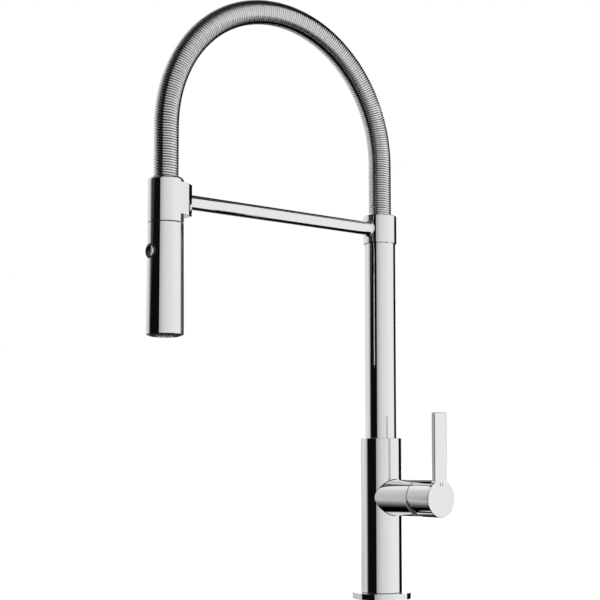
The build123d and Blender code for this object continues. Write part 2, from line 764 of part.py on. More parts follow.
def spray_core():
    core = disc(spray_core_d, core_base, spray_top - SPRAY_ROOF, 0, spray_y)
    core += disc(neck_d, spray_top - SPRAY_ROOF, neck_top, 0, spray_y)
    core += disc(spigot_d, neck_top, spigot_top, 0, spray_y)
    core -= disc(WATERWAY_D, core_base - CUT, spigot_top + CUT, 0, spray_y)
    core -= disc(chamber_d, check_valve_bottom - CUT, strainer_top, 0, spray_y)
    core -= rod_y(spool_d + 2 * RUNNING, core_front_y - CUT, spool_bore_y, 0, button_z)
    pocket_y = core_front_y + BUTTON_TRAVEL + LOOSE
    core -= rod_y(BUTTON_D + 2 * LOOSE, core_front_y - CUT, pocket_y, 0, button_z)
    core -= ring(neck_d + CUT, dock_groove_d, dock_ring_z, dock_ring_z + DOCK_RING_W, 0, spray_y)
    return core - disc(AERATOR_D + 2 * FIT, core_base - CUT, core_base + AERATOR_SEAL_H, 0, spray_y)


def docking_ring():
    top = dock_ring_z + DOCK_RING_W - FIT
    return ring(dock_ring_d, dock_groove_d + 2 * FIT, dock_ring_z + FIT, top, 0, spray_y)


def check_valve():
    floor_z = check_valve_bottom + CHECK_VALVE_FLOOR
    return disc(CHECK_VALVE_D, check_valve_bottom, check_valve_top, 0, spray_y) - disc(
        CHECK_VALVE_BORE, floor_z, check_valve_top + CUT, 0, spray_y
    )


def inlet_strainer():
    body = disc(CHECK_VALVE_D, check_valve_top, strainer_top, 0, spray_y)
    for spot in PolarLocations(STRAINER_CIRCLE / 2, STRAINER_HOLES):
        body -= Pos(0, spray_y, strainer_top) * spot * Cylinder(STRAINER_HOLE_D / 2, 4 * STRAINER_T)
    return body


def hose_nut():
    step_z = neck_top + HOSE_NUT_SHOULDER_H
    body = disc(hose_nut_d, neck_top + FIT, step_z, 0, spray_y)
    body += disc(hose_nut_d - 2 * HOSE_NUT_STEP, step_z, hose_nut_top, 0, spray_y)
    body -= disc(spigot_d + 2 * RUNNING, neck_top - CUT, spigot_top + FIT + INLET_SEAL_T, 0, spray_y)
    return body - disc(hose_bore, neck_top, hose_nut_top + CUT, 0, spray_y)


def inlet_seal():
    return ring(spigot_d, WATERWAY_D, spigot_top + FIT, spigot_top + FIT + INLET_SEAL_T, 0, spray_y)


def hose_ferrule():
    return ring(ferrule_d, hose_bore, hose_nut_top, ferrule_top, 0, spray_y)


def hose_tail():
    return ring(HOSE_D, hose_bore, ferrule_top, hose_join, 0, spray_y)


# Spray button and diverter


def ring_front():
    """Front plane of the button's ring."""
    return spray_y - spray_radius(button_z) - BUTTON_RING_PROUD


def front_circle(part):
    """The foremost circular edge of a part."""
    return part.edges().filter_by(GeomType.CIRCLE).sort_by(Axis.Y)[0]


def button_ring():
    body = rod_y(button_ring_d - 2 * FIT, ring_front(), core_front_y - FIT, 0, button_z)
    body = chamfer(front_circle(body), BUTTON_RING_EDGE)
    return body - rod_y(BUTTON_D + 2 * RUNNING, ring_front() - CUT, spray_y, 0, button_z)


def spray_button():
    body = rod_y(BUTTON_D, ring_front() - BUTTON_PROUD, core_front_y, 0, button_z)
    return fillet(front_circle(body), BUTTON_DOME_R)


def spool_grooves():
    """Front planes of the spool's two ring grooves."""
    return [spool_front_y + SPOOL_FRONT_RING, spool_front_y + SPOOL_BACK_RING]


def diverter_spool():
    spool = rod_y(spool_d, spool_front_y, spool_back_y, 0, button_z)
    for y in spool_grooves():
        band = rod_y(spool_d + CUT, y, y + SPOOL_GROOVE, 0, button_z)
        spool -= band - rod_y(spool_d - 2 * SPOOL_GROOVE, y - CUT, y + SPOOL_GROOVE + CUT, 0, button_z)
    return spool


def spool_rings():
    rings = []
    for y in spool_grooves():
        band = rod_y(spool_d, y + FIT, y + SPOOL_GROOVE - FIT, 0, button_z)
        inner = spool_d - 2 * SPOOL_GROOVE + 2 * FIT
        rings.append(band - rod_y(inner, y - CUT, y + SPOOL_GROOVE + CUT, 0, button_z))
    return Compound(rings)


def button_spring():
    outer = spool_d - 2 * BUTTON_SPRING_STEP
    end_y = spool_back_y + BUTTON_SPRING_L
    spring = rod_y(outer, spool_back_y, end_y, 0, button_z)
    return spring - rod_y(outer - 2 * BUTTON_SPRING_W, spool_back_y - CUT, end_y + CUT, 0, button_z)


# Spray face


def face_plate():
    body = disc(face_d, face_z, face_z + FACE_H, 0, spray_y)
    body = chamfer(round_edges(body, face_z), FACE_EDGE)
    body -= disc(AERATOR_D + 2 * FIT, face_z - CUT, face_z + FACE_H + CUT, 0, spray_y)
    nozzle_radius = (face_d + AERATOR_D) / 4
    for spot in PolarLocations(nozzle_radius, NOZZLE_COUNT):
        body += Pos(0, spray_y, face_z) * spot * Pos(0, 0, -NOZZLE_H / 2) * Cylinder(NOZZLE_D / 2, NOZZLE_H)
    return body


def aerator():
    body = disc(AERATOR_D, aerator_z, aerator_z + AERATOR_H, 0, spray_y)
    for spot in HexLocations(MESH_PITCH / 2, MESH_COUNT, MESH_COUNT, major_radius=False):
        body -= Pos(0, spray_y, aerator_z) * spot * Cylinder(MESH_HOLE_D / 2, 2 * MESH_HOLE_L)
    return body


def aerator_seal():
    z0 = aerator_z + AERATOR_H
    return ring(AERATOR_D, AERATOR_D - 2 * AERATOR_SEAL_W, z0, z0 + AERATOR_SEAL_H, 0, spray_y)


BUILDERS = [
    base_flange,
    base_seal,
    threaded_shank,
    rubber_washer,
    steel_washer,
    fixing_nut,
    body_housing,
    valve_core,
    thrust_washer,
    lower_slide_ring,
    upper_slide_ring,
    swivel_screw,
    cartridge_body,
    port_seals,
    fixed_disc,
    moving_disc,
    rotor,
    stem_pin,
    cartridge_nut,
    lever_stem,
    lever_handle,
    lever_screw,
    hot_mark,
    cold_mark,
    column_tube,
    collar_arm,
    collar_screw,
    spring_coil,
    inner_hose,
    hose_connector,
    dock_housing,
    arm_plate,
    arm_screw,
    dock_sleeve,
    hose_tail,
    hose_ferrule,
    hose_nut,
    inlet_seal,
    spray_shell,
    spray_core,
    docking_ring,
    check_valve,
    inlet_strainer,
    button_ring,
    spray_button,
    diverter_spool,
    spool_rings,
    button_spring,
    face_plate,
    aerator,
    aerator_seal,
]

os.makedirs("parts", exist_ok=True)
for build in BUILDERS:
    export_step(build(), f"parts/{build.__name__}.step")
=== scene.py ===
"""Pull-out kitchen faucet: the pieces, finishes and studio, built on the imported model."""

import json
import math

import bmesh
import bpy
from bpy.props import FloatProperty, FloatVectorProperty, IntProperty, PointerProperty
from mathutils import Matrix, Vector
from mathutils.geometry import tessellate_polygon


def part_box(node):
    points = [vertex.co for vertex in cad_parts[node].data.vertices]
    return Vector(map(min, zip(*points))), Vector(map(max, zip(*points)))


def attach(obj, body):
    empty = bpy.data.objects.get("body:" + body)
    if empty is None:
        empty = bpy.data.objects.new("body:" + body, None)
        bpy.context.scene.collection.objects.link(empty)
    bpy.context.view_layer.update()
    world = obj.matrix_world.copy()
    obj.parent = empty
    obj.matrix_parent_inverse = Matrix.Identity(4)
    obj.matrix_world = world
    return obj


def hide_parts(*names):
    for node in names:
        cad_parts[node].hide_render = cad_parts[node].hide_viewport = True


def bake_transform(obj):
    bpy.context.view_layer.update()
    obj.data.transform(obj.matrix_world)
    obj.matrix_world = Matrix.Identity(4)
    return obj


bl_info = {
    "name": "Pull-out kitchen faucet",
    "version": (1, 0, 0),
    "blender": (4, 5, 0),
    "location": "3D View > Sidebar > Faucet",
    "description": "Builds the visible pieces, finishes and studio of a spring spout kitchen faucet",
    "category": "Add Mesh",
}

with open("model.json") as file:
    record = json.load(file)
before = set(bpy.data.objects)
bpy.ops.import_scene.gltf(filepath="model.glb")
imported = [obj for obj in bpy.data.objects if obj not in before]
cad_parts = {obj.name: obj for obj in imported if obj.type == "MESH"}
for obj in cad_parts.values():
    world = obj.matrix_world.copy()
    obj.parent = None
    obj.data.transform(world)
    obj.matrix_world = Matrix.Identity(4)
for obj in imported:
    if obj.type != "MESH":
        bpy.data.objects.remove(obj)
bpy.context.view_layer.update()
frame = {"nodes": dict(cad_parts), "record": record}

MM = 0.001

# Steps of turned outlines, fillets and rounded corners
STEPS = 192
BUTTON_STEPS = 96
HUB_STEPS = 64
HOSE_STEPS = 48
SCREW_STEPS = 40
SADDLE_STEPS = 10
CORNER_STEPS = 6

# Edges are sharp from this angle on
SHARP_ANGLE = math.radians(24)

# Play between a bore and what sits in it, depth of the finishes' relief, and radius of the hose's bore
FIT = 0.05 * MM
RELIEF = 0.05 * MM
BRAID_RELIEF = 0.1 * MM
HOSE_PASSAGE = 6.9 * MM

CHROME = "polished_chrome"
WHITE = (1, 1, 1, 1)

# Lamp, and camera with its tilt and turn in degrees and its shift in widths of the picture
LAMP_PLACE = Vector((0.9, -1.2, 1.8))
LAMP_AIM = Vector((0, 0, 0.25))
LAMP_SIZE = 1.6
CAMERA_PLACE = (0.84919, -0.78297, 0.119325)
CAMERA_TILT = 4.5272
CAMERA_TURN = 50.8334
CAMERA_SHIFT = 55 / 600


def edge_of(node, side, axis):
    """Lowest (side 0) or highest (side 1) coordinate of a CAD node along an axis."""
    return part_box(node)[side]["XYZ".index(axis)]


def span_of(node, axis):
    """Lowest and highest coordinate of a CAD node along an axis."""
    return edge_of(node, 0, axis), edge_of(node, 1, axis)


def middle_of(node, axis):
    """Middle of a CAD node along an axis."""
    return sum(span_of(node, axis)) / 2


def placed(x, y, z, quarter_turns, axis):
    """Place at a point, turned by quarter turns about one of the axes."""
    return Matrix.Translation((x, y, z)) @ Matrix.Rotation(quarter_turns * math.pi / 2, 4, axis)


BODY_R = edge_of("body_housing", 1, "Y")
BODY_FOOT, BODY_TOP = span_of("body_housing", "Z")
BARREL_END = edge_of("body_housing", 1, "X")
FLANGE_R = edge_of("base_flange", 1, "X")
FLANGE_TOP = edge_of("base_flange", 1, "Z")
SHANK_R = edge_of("threaded_shank", 1, "X")
COLUMN_R = edge_of("column_tube", 1, "X")
COLUMN_FOOT, COLUMN_TOP = span_of("column_tube", "Z")
COLLAR_FOOT, COLLAR_TOP = span_of("collar_arm", "Z")
COLLAR_R = edge_of("collar_arm", 1, "X")
ARM_END = edge_of("collar_arm", 0, "Y")
DOCK_FOOT, DOCK_TOP = span_of("dock_housing", "Z")
DOCK_R = edge_of("dock_housing", 1, "X")
DOCK_Y = edge_of("dock_housing", 0, "Y") + DOCK_R
BLOCK_END = edge_of("dock_housing", 1, "Y")
BLOCK_H = edge_of("arm_plate", 1, "Z") - edge_of("arm_plate", 0, "Z")
ARM_Z = middle_of("arm_plate", "Z")
SPRING_R = edge_of("spring_coil", 1, "X")
SPRING_FOOT = edge_of("spring_coil", 0, "Z")
CAP_R = -edge_of("lever_handle", 0, "Y")
CAP_BACK, LEVER_FACE = span_of("lever_handle", "X")
BARREL_Z = edge_of("lever_handle", 0, "Z") + CAP_R
BLADE_TOP = edge_of("lever_handle", 1, "Z")
NUT_BACK, NUT_FRONT = span_of("cartridge_nut", "X")
NUT_R = edge_of("cartridge_nut", 1, "Y")
SPRAY_FOOT, SPRAY_TOP = span_of("spray_shell", "Z")
SPRAY_R = edge_of("spray_shell", 1, "X")
BUTTON_R = edge_of("spray_button", 1, "X")
BUTTON_Z = middle_of("spray_button", "Z")
BUTTON_BACK = edge_of("spray_button", 1, "Y")
RING_R = edge_of("button_ring", 1, "X")
RING_FRONT = edge_of("button_ring", 0, "Y")
TAIL_FOOT, TAIL_TOP = span_of("hose_tail", "Z")
HOSE_R = edge_of("hose_tail", 1, "X")
UPRIGHT = Matrix.Identity(4)
BARREL_AXIS = placed(0, 0, BARREL_Z, 1, "Y")
ARM_AXIS = placed(0, 0, ARM_Z, 1, "X")
DOCK_AXIS = Matrix.Translation((0, DOCK_Y, 0))
BUTTON_AXIS = placed(0, DOCK_Y, BUTTON_Z, 1, "X")
LEVER_PLANE = Matrix.Translation((0, 0, BARREL_Z)) @ Matrix(
    ((0, 0, 1, 0), (1, 0, 0, 0), (0, 1, 0, 0), (0, 0, 0, 1))
)

FINISHES = {}


def length(name, description, millimetres):
    """A size in metres for a property group, given in millimetres."""
    return FloatProperty(
        name=name,
        description=description,
        default=millimetres * MM,
        precision=5,
        min=0.0,
        unit="LENGTH",
        subtype="DISTANCE",
    )


def share(name, description, default):
    """A number from 0 to 1 for a property group."""
    return FloatProperty(
        name=name, description=description, default=default, min=0.0, max=1.0, subtype="FACTOR"
    )


def colour(name, description, default):
    """A colour for a property group."""
    return FloatVectorProperty(
        name=name, description=description, default=default, size=3, min=0.0, max=1.0, subtype="COLOR"
    )


class BodySizes(bpy.types.PropertyGroup):
    """Sizes of the flange, the body and its side barrel."""

    barrel_radius: length("Barrel radius", "Outer radius of the side barrel", 15.4)
    barrel_bore: length("Barrel bore", "Radius of the thread that takes the cartridge nut", 14.0)
    edge: length("Edge", "Rounding at the top of the body", 0.4)
    barrel_edge: length("Barrel edge", "Rounding at the barrel's end", 0.3)
    flange_edge: length("Flange edge", "Chamfer round the top of the flange", 0.06)
    # The dark bead at the joint is painted shade: a dark strip that stands for the shadow line where the
    # barrel meets the body.
    joint_radius: length("Joint radius", "Dark bead of sealant where the barrel meets the body", 0.5)
    # The body stands this far above its CAD foot; the dark ring in that gap is painted shade for the shadow
    # line under the body.
    foot_gap: length("Foot gap", "Height of the dark seam under the body", 0.35)
    # The dark ring at the barrel's end is painted shade: a grey ring that stands for the shadow in the gap
    # between barrel and lever.
    shade_ring_show: length("Seal", "How far the dark ring at the barrel's end shows before it", 0.5)
    wall: length("Wall", "Thickness of the body's wall", 2.5)
    lip: length("Lip", "Height of the narrow bore at the top of the body", 2.2)
    lip_gap: length("Lip gap", "Gap between the body's top and the column", 0.35)


class ColumnSizes(bpy.types.PropertyGroup):
    """Sizes of the column, the collar and the arm."""

    column_wall: length("Column wall", "Thickness of the column's wall", 1.8)
    collar_edge: length("Collar edge", "Chamfer at both ends of the collar", 0.5)
    arm_radius: length("Arm radius", "Radius of the round arm", 5.75)
    arm_fillet: length("Arm fillet", "Radius where the arm leaves the collar", 2.4)
    seat_depth: length("Spring seat", "Depth of the socket that holds the spring", 5.0)


class SpringSizes(bpy.types.PropertyGroup):
    """Sizes of the wound spring."""

    wire: length("Wire", "Diameter of the spring's wire", 1.8)
    pitch: length("Pitch", "Distance from one turn to the next", 2.035)
    turn_points: IntProperty(
        name="Points", description="Points on each turn of the wire", default=22, min=8
    )
    wire_sides: IntProperty(name="Sides", description="Sides of the wire's section", default=8, min=4)


class DockSizes(bpy.types.PropertyGroup):
    """Sizes of the docking holder."""

    rim_radius: length("Rim radius", "Rounding of the holder's top rim", 3.2)
    bore: length("Bore radius", "Radius of the bore that takes the spray head's neck", 11.2)
    bore_depth: length("Bore depth", "Depth of that bore", 22.0)
    seat_depth: length("Spring seat", "Depth of the socket that holds the spring's end", 5.5)
    end_width: length("Block width", "Width of the block where it meets the arm's plate", 17.0)
    end_radius: length("Block corners", "Radius of the block's upright corners", 3.6)
    plate_inset: length("Plate inset", "How far the plate stands back from the block's sides", 0.3)
    plate_taper: length("Plate taper", "How much narrower each side of the plate is at the arm", 1.45)
    plate_corner: length("Plate corners", "Radius of the plate's corners", 1.2)
    edge: length("Edge", "Softening of the block's and the plate's edges", 0.25)
    foot_gap: length("Foot gap", "How far the holder's foot stands above the CAD's", 0.3)


class LeverSizes(bpy.types.PropertyGroup):
    """Sizes of the lever with its cap."""

    blade_width: length("Blade width", "Width of the upright blade", 14.2)
    plate_thickness: length("Plate", "Thickness of the blade and the front disc", 3.8)
    root_radius: length("Root radius", "Fillet between the blade and the disc", 3.0)
    corner_radius: length("Corner radius", "Rounding of the blade's top corners", 0.7)
    edge: length("Edge", "Rounding round the lever's face", 0.8)
    cap_wall: length("Cap wall", "Thickness of the cap's wall", 1.7)
    cap_end: length("Cap end", "Thickness of the cap's closed end", 7.3)
    relief: length("Relief", "How far the lower rim is cut back", 6.0)
    relief_depth: length("Relief depth", "Distance below the axis over which it is cut back", 9.5)
    hub_radius: length("Hub radius", "Radius of the hub that takes the stem", 8.0)
    hub_length: length("Hub length", "Length of that hub", 8.0)
    screw_radius: length("Screw hole", "Radius of the hole for the lever's screw", 2.5)


class SpraySizes(bpy.types.PropertyGroup):
    """Sizes of the spray head and its button."""

    top_radius: length("Top radius", "Radius at the top of the spray head", 14.0)
    wall: length("Wall", "Thickness of the shell", 1.7)
    roof: length("Roof", "Thickness of the shell's top", 3.0)
    neck_radius: length("Neck hole", "Radius of the hole for the neck", 9.05)
    edge: length("Edge", "Chamfer at both ends of the shell", 0.3)
    ring_edge: length("Ring edge", "Chamfer of the button's ring", 0.12)
    ring_gap: length("Ring gap", "Gap between the button and its ring", 0.06)
    ring_sink: length("Ring sink", "How far the ring's face lies behind the front of the CAD ring", 0.6)
    aerator_rim: length("Aerator rim", "Width of the bright rim round the aerator", 0.8)
    rim_lift: length("Rim lift", "How far that rim lies above the tips of the nozzles", 0.25)
    rear_gap: length("Rear gap", "Gap between the back of the button's ring and the core", 0.1)
    coil_wire: length("Coil wire", "Wire diameter of the button's spring", 0.6)
    coil_floor: length("Coil floor", "Wall of the core behind the button's spring", 2.0)
    coil_turns: IntProperty(name="Coil turns", description="Turns of the button's spring", default=5, min=2)
    bezel_radius: length("Bezel radius", "Outer radius of the bright ring inside the dark bezel", 4.1)
    bezel_edge: length("Bezel edge", "Softened front edge of the dark bezel", 0.5)
    bezel_gap: length("Bezel gap", "How far the dark bezel lies behind the bright ring", 0.1)
    dish_depth: length("Dish", "Depth of the hollow in the button's face", 0.4)
    face_turn: FloatProperty(
        name="Face turn",
        description="Angle by which the button's face turns to one side",
        default=math.radians(7),
        unit="ROTATION",
        subtype="ANGLE",
    )


class Finishes(bpy.types.PropertyGroup):
    """Colours and polish of the finishes."""

    chrome: colour("Chrome", "Colour of the polished chrome", (0.86, 0.87, 0.88))
    chrome_roughness: share("Chrome roughness", "Roughness of the polished chrome", 0.035)
    spring_chrome: colour("Spring chrome", "Colour of the chromed wire", (0.84, 0.85, 0.86))
    spring_roughness: share("Spring roughness", "Roughness of the chromed wire", 0.03)
    brass: colour("Brass", "Colour of the machined brass", (0.78, 0.62, 0.32))
    steel: colour("Steel", "Colour of the stainless steel", (0.62, 0.63, 0.65))
    # The same dark rubber colour also paints the shade strips along the barrel's joint and under the body.
    rubber: colour("Rubber", "Colour of the seals", (0.05, 0.05, 0.05))
    # Grey of painted shade: the ring at the barrel's end stands for the shadow in the gap between barrel and
    # lever.
    grey_rubber: colour("Grey rubber", "Colour of the ring between barrel and lever", (0.14, 0.14, 0.145))
    hose: colour("Hose", "Colour of the hose's cover", (0.10, 0.10, 0.11))
    bearing: colour("Acetal", "Colour of the bearing rings", (0.82, 0.82, 0.80))
    valve: colour("Valve plastic", "Colour of the moulded inner parts", (0.30, 0.31, 0.33))
    ceramic: colour("Ceramic", "Colour of the ceramic discs", (0.92, 0.92, 0.90))
    face: colour("Spray face", "Colour of the spray face", (0.035, 0.035, 0.038))
    enamel: colour("Enamel", "Colour of the two marks on the lever", (0.12, 0.12, 0.13))


class StudioSettings(bpy.types.PropertyGroup):
    """Light, cards and camera of the studio."""

    lamp_power: FloatProperty(
        name="Lamp", description="Power of the soft lamp", default=5.0, min=0.0, unit="POWER"
    )
    card_black: share("Card", "Brightness of the dark cards in reflections", 0.004)
    card_grey: share("Grey part", "Brightness of the grey card behind", 0.3)
    card_white: FloatProperty(
        name="White part",
        description="Brightness of the narrow card behind that whitens the flange",
        default=1.3,
    )
    card_dim: share("Dim part", "Brightness of the upper left part of the left card", 0.045)
    lens: FloatProperty(
        name="Lens", description="Focal length of the camera", default=79.10, min=1.0, unit="CAMERA"
    )


PROPERTY_GROUPS = {
    "faucet_body": BodySizes,
    "faucet_column": ColumnSizes,
    "faucet_spring": SpringSizes,
    "faucet_dock": DockSizes,
    "faucet_lever": LeverSizes,
    "faucet_spray": SpraySizes,
    "faucet_finish": Finishes,
    "faucet_studio": StudioSettings,
}


# Outlines


def arc(x, y, radius, start, end, steps):
    """Points on an arc between two angles in radians."""
    angles = [start + (end - start) * i / steps for i in range(steps + 1)]
    return [(x + radius * math.cos(angle), y + radius * math.sin(angle)) for angle in angles]


def weights(turn, part):
    """Weights of two vectors, a turn apart, that sum to the vector at a part of the turn."""
    return math.sin((1 - part) * turn) / math.sin(turn), math.sin(part * turn) / math.sin(turn)


def rounded(corners, steps=CORNER_STEPS):
    """Closed outline whose corners (x, y, radius) are rounded."""
    points = []
    for index, corner in enumerate(corners):
        here = Vector(corner[:2])
        radius = corner[2] if len(corner) > 2 else 0
        if radius == 0:
            points.append((here.x, here.y))
            continue
        before = (Vector(corners[index - 1][:2]) - here).normalized()
        after = (Vector(corners[(index + 1) % len(corners)][:2]) - here).normalized()
        half = before.angle(after) / 2
        centre = here + (before + after).normalized() * (radius / math.sin(half))
        reach = radius / math.tan(half)
        first = here + before * reach - centre
        last = here + after * reach - centre
        turn = first.angle(last)
        for i in range(steps + 1):
            near, far = weights(turn, i / steps)
            point = centre + first * near + last * far
            points.append((point.x, point.y))
    return points


def chamfered(corners):
    """Closed outline whose corners (x, y, size) are cut at equal distances."""
    points = []
    for index, corner in enumerate(corners):
        here = Vector(corner[:2])
        size = corner[2] if len(corner) > 2 else 0
        if size == 0:
            points.append((here.x, here.y))
            continue
        for other in (corners[index - 1], corners[(index + 1) % len(corners)]):
            point = here + (Vector(other[:2]) - here).normalized() * size
            points.append((point.x, point.y))
    return points


def inset(points, distance):
    """Counter-clockwise outline moved inwards."""
    sharpest = 0.3
    result = []
    for index, point in enumerate(points):
        here = Vector(point)
        before = (here - Vector(points[index - 1])).normalized()
        after = (Vector(points[(index + 1) % len(points)]) - here).normalized()
        inward_before = Vector((-before.y, before.x))
        inward_after = Vector((-after.y, after.x))
        middle = (inward_before + inward_after).normalized()
        moved = here + middle * (distance / max(middle.dot(inward_before), sharpest))
        result.append((moved.x, moved.y))
    return result


# Solids, as (vertices, faces)


def band(low, high, count):
    """Faces between two closed rings of points, whose numbers start at low and high."""
    return [(low + i, low + (i + 1) % count, high + (i + 1) % count, high + i) for i in range(count)]


def lathe(outline, place=UPRIGHT, steps=STEPS):
    """Outline of (radius, height) turned round the local Z axis. It may start and end on the axis."""
    on_axis = outline[0][0] == 0
    rings = outline[1:-1] if on_axis else outline
    verts = []
    for radius, height in rings:
        for step in range(steps):
            angle = 2 * math.pi * step / steps
            verts.append(place @ Vector((radius * math.cos(angle), radius * math.sin(angle), height)))
    faces = []
    count = len(rings)
    for ring in range(count - 1 if on_axis else count):
        faces.extend(band(ring * steps, (ring + 1) % count * steps, steps))
    if on_axis:
        for end, ring in ((outline[0], 0), (outline[-1], count - 1)):
            pole = len(verts)
            verts.append(place @ Vector((0, 0, end[1])))
            for step in range(steps):
                faces.append((pole, ring * steps + step, ring * steps + (step + 1) % steps))
    return verts, faces


def rod(radius, start, end, place, steps=STEPS):
    """Round bar between two heights on the local Z axis."""
    return lathe([(0, start), (radius, start), (radius, end), (0, end)], place, steps)


def prism(outline, place, bottom, top, edge, edge_steps, eased_bottom=False, pockets=(), pocket_depth=0.0):
    """Plate between two heights over a counter-clockwise outline, with eased rims and top pockets."""
    levels = []
    if eased_bottom:
        for i in range(edge_steps + 1):
            angle = math.pi / 2 * (1 - i / edge_steps)
            levels.append((edge * (1 - math.cos(angle)), bottom + edge * (1 - math.sin(angle))))
    else:
        levels.append((0.0, bottom))
    for i in range(edge_steps + 1):
        angle = math.pi / 2 * i / edge_steps
        levels.append((edge * (1 - math.cos(angle)), top - edge * (1 - math.sin(angle))))
    verts, faces = [], []
    count = len(outline)
    for distance, height in levels:
        ring = inset(outline, distance) if distance else outline
        verts.extend(place @ Vector((x, y, height)) for x, y in ring)
    for level in range(len(levels) - 1):
        faces.extend(band(level * count, (level + 1) * count, count))
    flat = [Vector((x, y, 0)) for x, y in outline]
    faces.extend(tessellate_polygon([flat]))
    last = (len(levels) - 1) * count
    index = [last + i for i in range(count)]
    for pocket in pockets:
        start = len(verts)
        size = len(pocket)
        verts.extend(place @ Vector((x, y, top)) for x, y in pocket)
        verts.extend(place @ Vector((x, y, top - pocket_depth)) for x, y in pocket)
        index.extend(start + i for i in range(size))
        faces.extend(band(start, start + size, size))
        faces.append(tuple(start + size + i for i in range(size)))
    rings = [[Vector((x, y, 0)) for x, y in inset(outline, levels[-1][0])]]
    rings.extend([Vector((x, y, 0)) for x, y in pocket] for pocket in pockets)
    faces.extend(tuple(index[i] for i in triangle) for triangle in tessellate_polygon(rings))
    return verts, faces


def saddle(upright_r, side_r, fillet, heading, height):
    """Fillet where a level round bar leaves an upright cylinder on the Z axis."""
    upward = Vector((0, 0, 1))
    across = upward.cross(heading)
    overlap = 0.4 * MM
    verts, faces = [], []
    count = SADDLE_STEPS + 2
    for step in range(STEPS):
        angle = 2 * math.pi * step / STEPS
        side = (side_r + fillet) * math.cos(angle)
        rise = (side_r + fillet) * math.sin(angle)
        out = math.sqrt((upright_r + fillet) ** 2 - side**2)
        centre = heading * out + across * side + upward * (height + rise)
        to_upright = -(heading * out + across * side).normalized()
        to_bar = -(across * math.cos(angle) + upward * math.sin(angle))
        turn = to_upright.angle(to_bar)
        for i in range(SADDLE_STEPS + 1):
            near, far = weights(turn, i / SADDLE_STEPS)
            verts.append(centre + (to_upright * near + to_bar * far) * fillet)
        middle = (to_upright + to_bar).normalized()
        verts.append(centre + middle * (fillet / math.cos(turn / 2) + overlap))
    for step in range(STEPS):
        faces.extend(band(step * count, (step + 1) % STEPS * count, count))
    return verts, faces


def merged(*solids):
    """Several solids as one list of vertices and faces."""
    verts, faces = [], []
    for more_verts, more_faces in solids:
        base = len(verts)
        verts.extend(more_verts)
        faces.extend(tuple(base + i for i in face) for face in more_faces)
    return verts, faces


def mesh_object(name, solid):
    """Object whose closed shells all face outwards."""
    mesh = bpy.data.meshes.new(name)
    mesh.from_pydata([tuple(v) for v in solid[0]], [], solid[1])
    work = bmesh.new()
    work.from_mesh(mesh)
    bmesh.ops.recalc_face_normals(work, faces=work.faces)
    work.to_mesh(mesh)
    work.free()
    mesh.shade_smooth()
    mesh.set_sharp_from_angle(angle=SHARP_ANGLE)
    obj = bpy.data.objects.new(name, mesh)
    bpy.context.scene.collection.objects.link(obj)
    return obj


def evaluated(obj):
    """Turns an object's modifiers into its mesh."""
    bpy.context.view_layer.update()
    depsgraph = bpy.context.evaluated_depsgraph_get()
    mesh = bpy.data.meshes.new_from_object(obj.evaluated_get(depsgraph), depsgraph=depsgraph)
    obj.modifiers.clear()
    obj.data = mesh


def even_normals(obj):
    """Lets large faces set the normals at soft edges, so that they shade as flat or round as they are."""
    modifier = obj.modifiers.new("Weighted normals", "WEIGHTED_NORMAL")
    modifier.mode = "FACE_AREA"
    modifier.weight = 100
    modifier.keep_sharp = True
    evaluated(obj)


def cut(obj, solid):
    """Cuts a solid out of an object."""
    cutter = mesh_object(obj.name + "_cutter", solid)
    modifier = obj.modifiers.new("Cut", "BOOLEAN")
    modifier.operation = "DIFFERENCE"
    modifier.solver = "EXACT"
    modifier.object = cutter
    evaluated(obj)
    bpy.data.objects.remove(cutter)


def true_normals(obj, place, low, high):
    """Gives the faces of a surface turned between two (radius, height) points their exact normals."""
    mesh = obj.data
    mesh.set_sharp_from_angle(angle=SHARP_ANGLE)
    normals = [tuple(corner.vector) for corner in mesh.corner_normals]
    near = 0.01 * MM
    back = place.inverted()
    turn = place.to_3x3()
    slope = (high[0] - low[0]) / (high[1] - low[1])
    local = [back @ v.co for v in mesh.vertices]
    fits = []
    for p in local:
        wanted = low[0] + slope * (p.z - low[1])
        fits.append(low[1] - near < p.z < high[1] + near and abs(math.hypot(p.x, p.y) - wanted) < near)
    for face in mesh.polygons:
        if not all(fits[v] for v in face.vertices):
            continue
        for loop in face.loop_indices:
            p = local[mesh.loops[loop].vertex_index]
            radial = Vector((p.x, p.y, 0)).normalized()
            normal = (turn @ Vector((radial.x, radial.y, -slope))).normalized()
            if normal.dot(face.normal) > 0.9:
                normals[loop] = tuple(normal)
    mesh.normals_split_custom_set(normals)


def finish_piece(obj, material, body, *nodes, slot=None):
    """Gives a piece its finish and its body, and hides the nodes that it stands for. slot is not used."""
    if not obj.data.has_custom_normals:
        even_normals(obj)
    obj.data.materials.clear()
    obj.data.materials.append(FINISHES[material])
    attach(obj, body)
    if nodes:
        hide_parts(*nodes)


def make_piece(name, solid, material, body, *nodes, slot=None):
    """Makes a finished piece of a solid."""
    finish_piece(mesh_object(name, solid), material, body, *nodes, slot=slot)


# Shader nodes


class Sock:
    """Output socket with arithmetic, which adds Math nodes to its tree."""

    def __init__(self, tree, output):
        self.tree = tree
        self.output = output

    def math(self, operation, *others):
        node = self.tree.nodes.new("ShaderNodeMath")
        node.operation = operation
        for socket, value in zip(node.inputs, others):
            plug(self.tree, value, socket)
        return Sock(self.tree, node.outputs[0])

    def __add__(self, other):
        return self.math("ADD", self, other)

    __radd__ = __add__

    def __mul__(self, other):
        return self.math("MULTIPLY", self, other)

    __rmul__ = __mul__

    def __sub__(self, other):
        return self.math("SUBTRACT", self, other)

    def __rsub__(self, other):
        return self.math("SUBTRACT", other, self)

    def __truediv__(self, other):
        return self.math("DIVIDE", self, other)

    def sin(self):
        return self.math("SINE", self)

    def cos(self):
        return self.math("COSINE", self)

    def clamp(self, low, high):
        return self.math("MINIMUM", self.math("MAXIMUM", self, low), high)


def plug(tree, value, socket):
    """Links a value to a socket, or sets it there."""
    if isinstance(value, Sock):
        tree.links.new(value.output, socket)
    else:
        socket.default_value = value


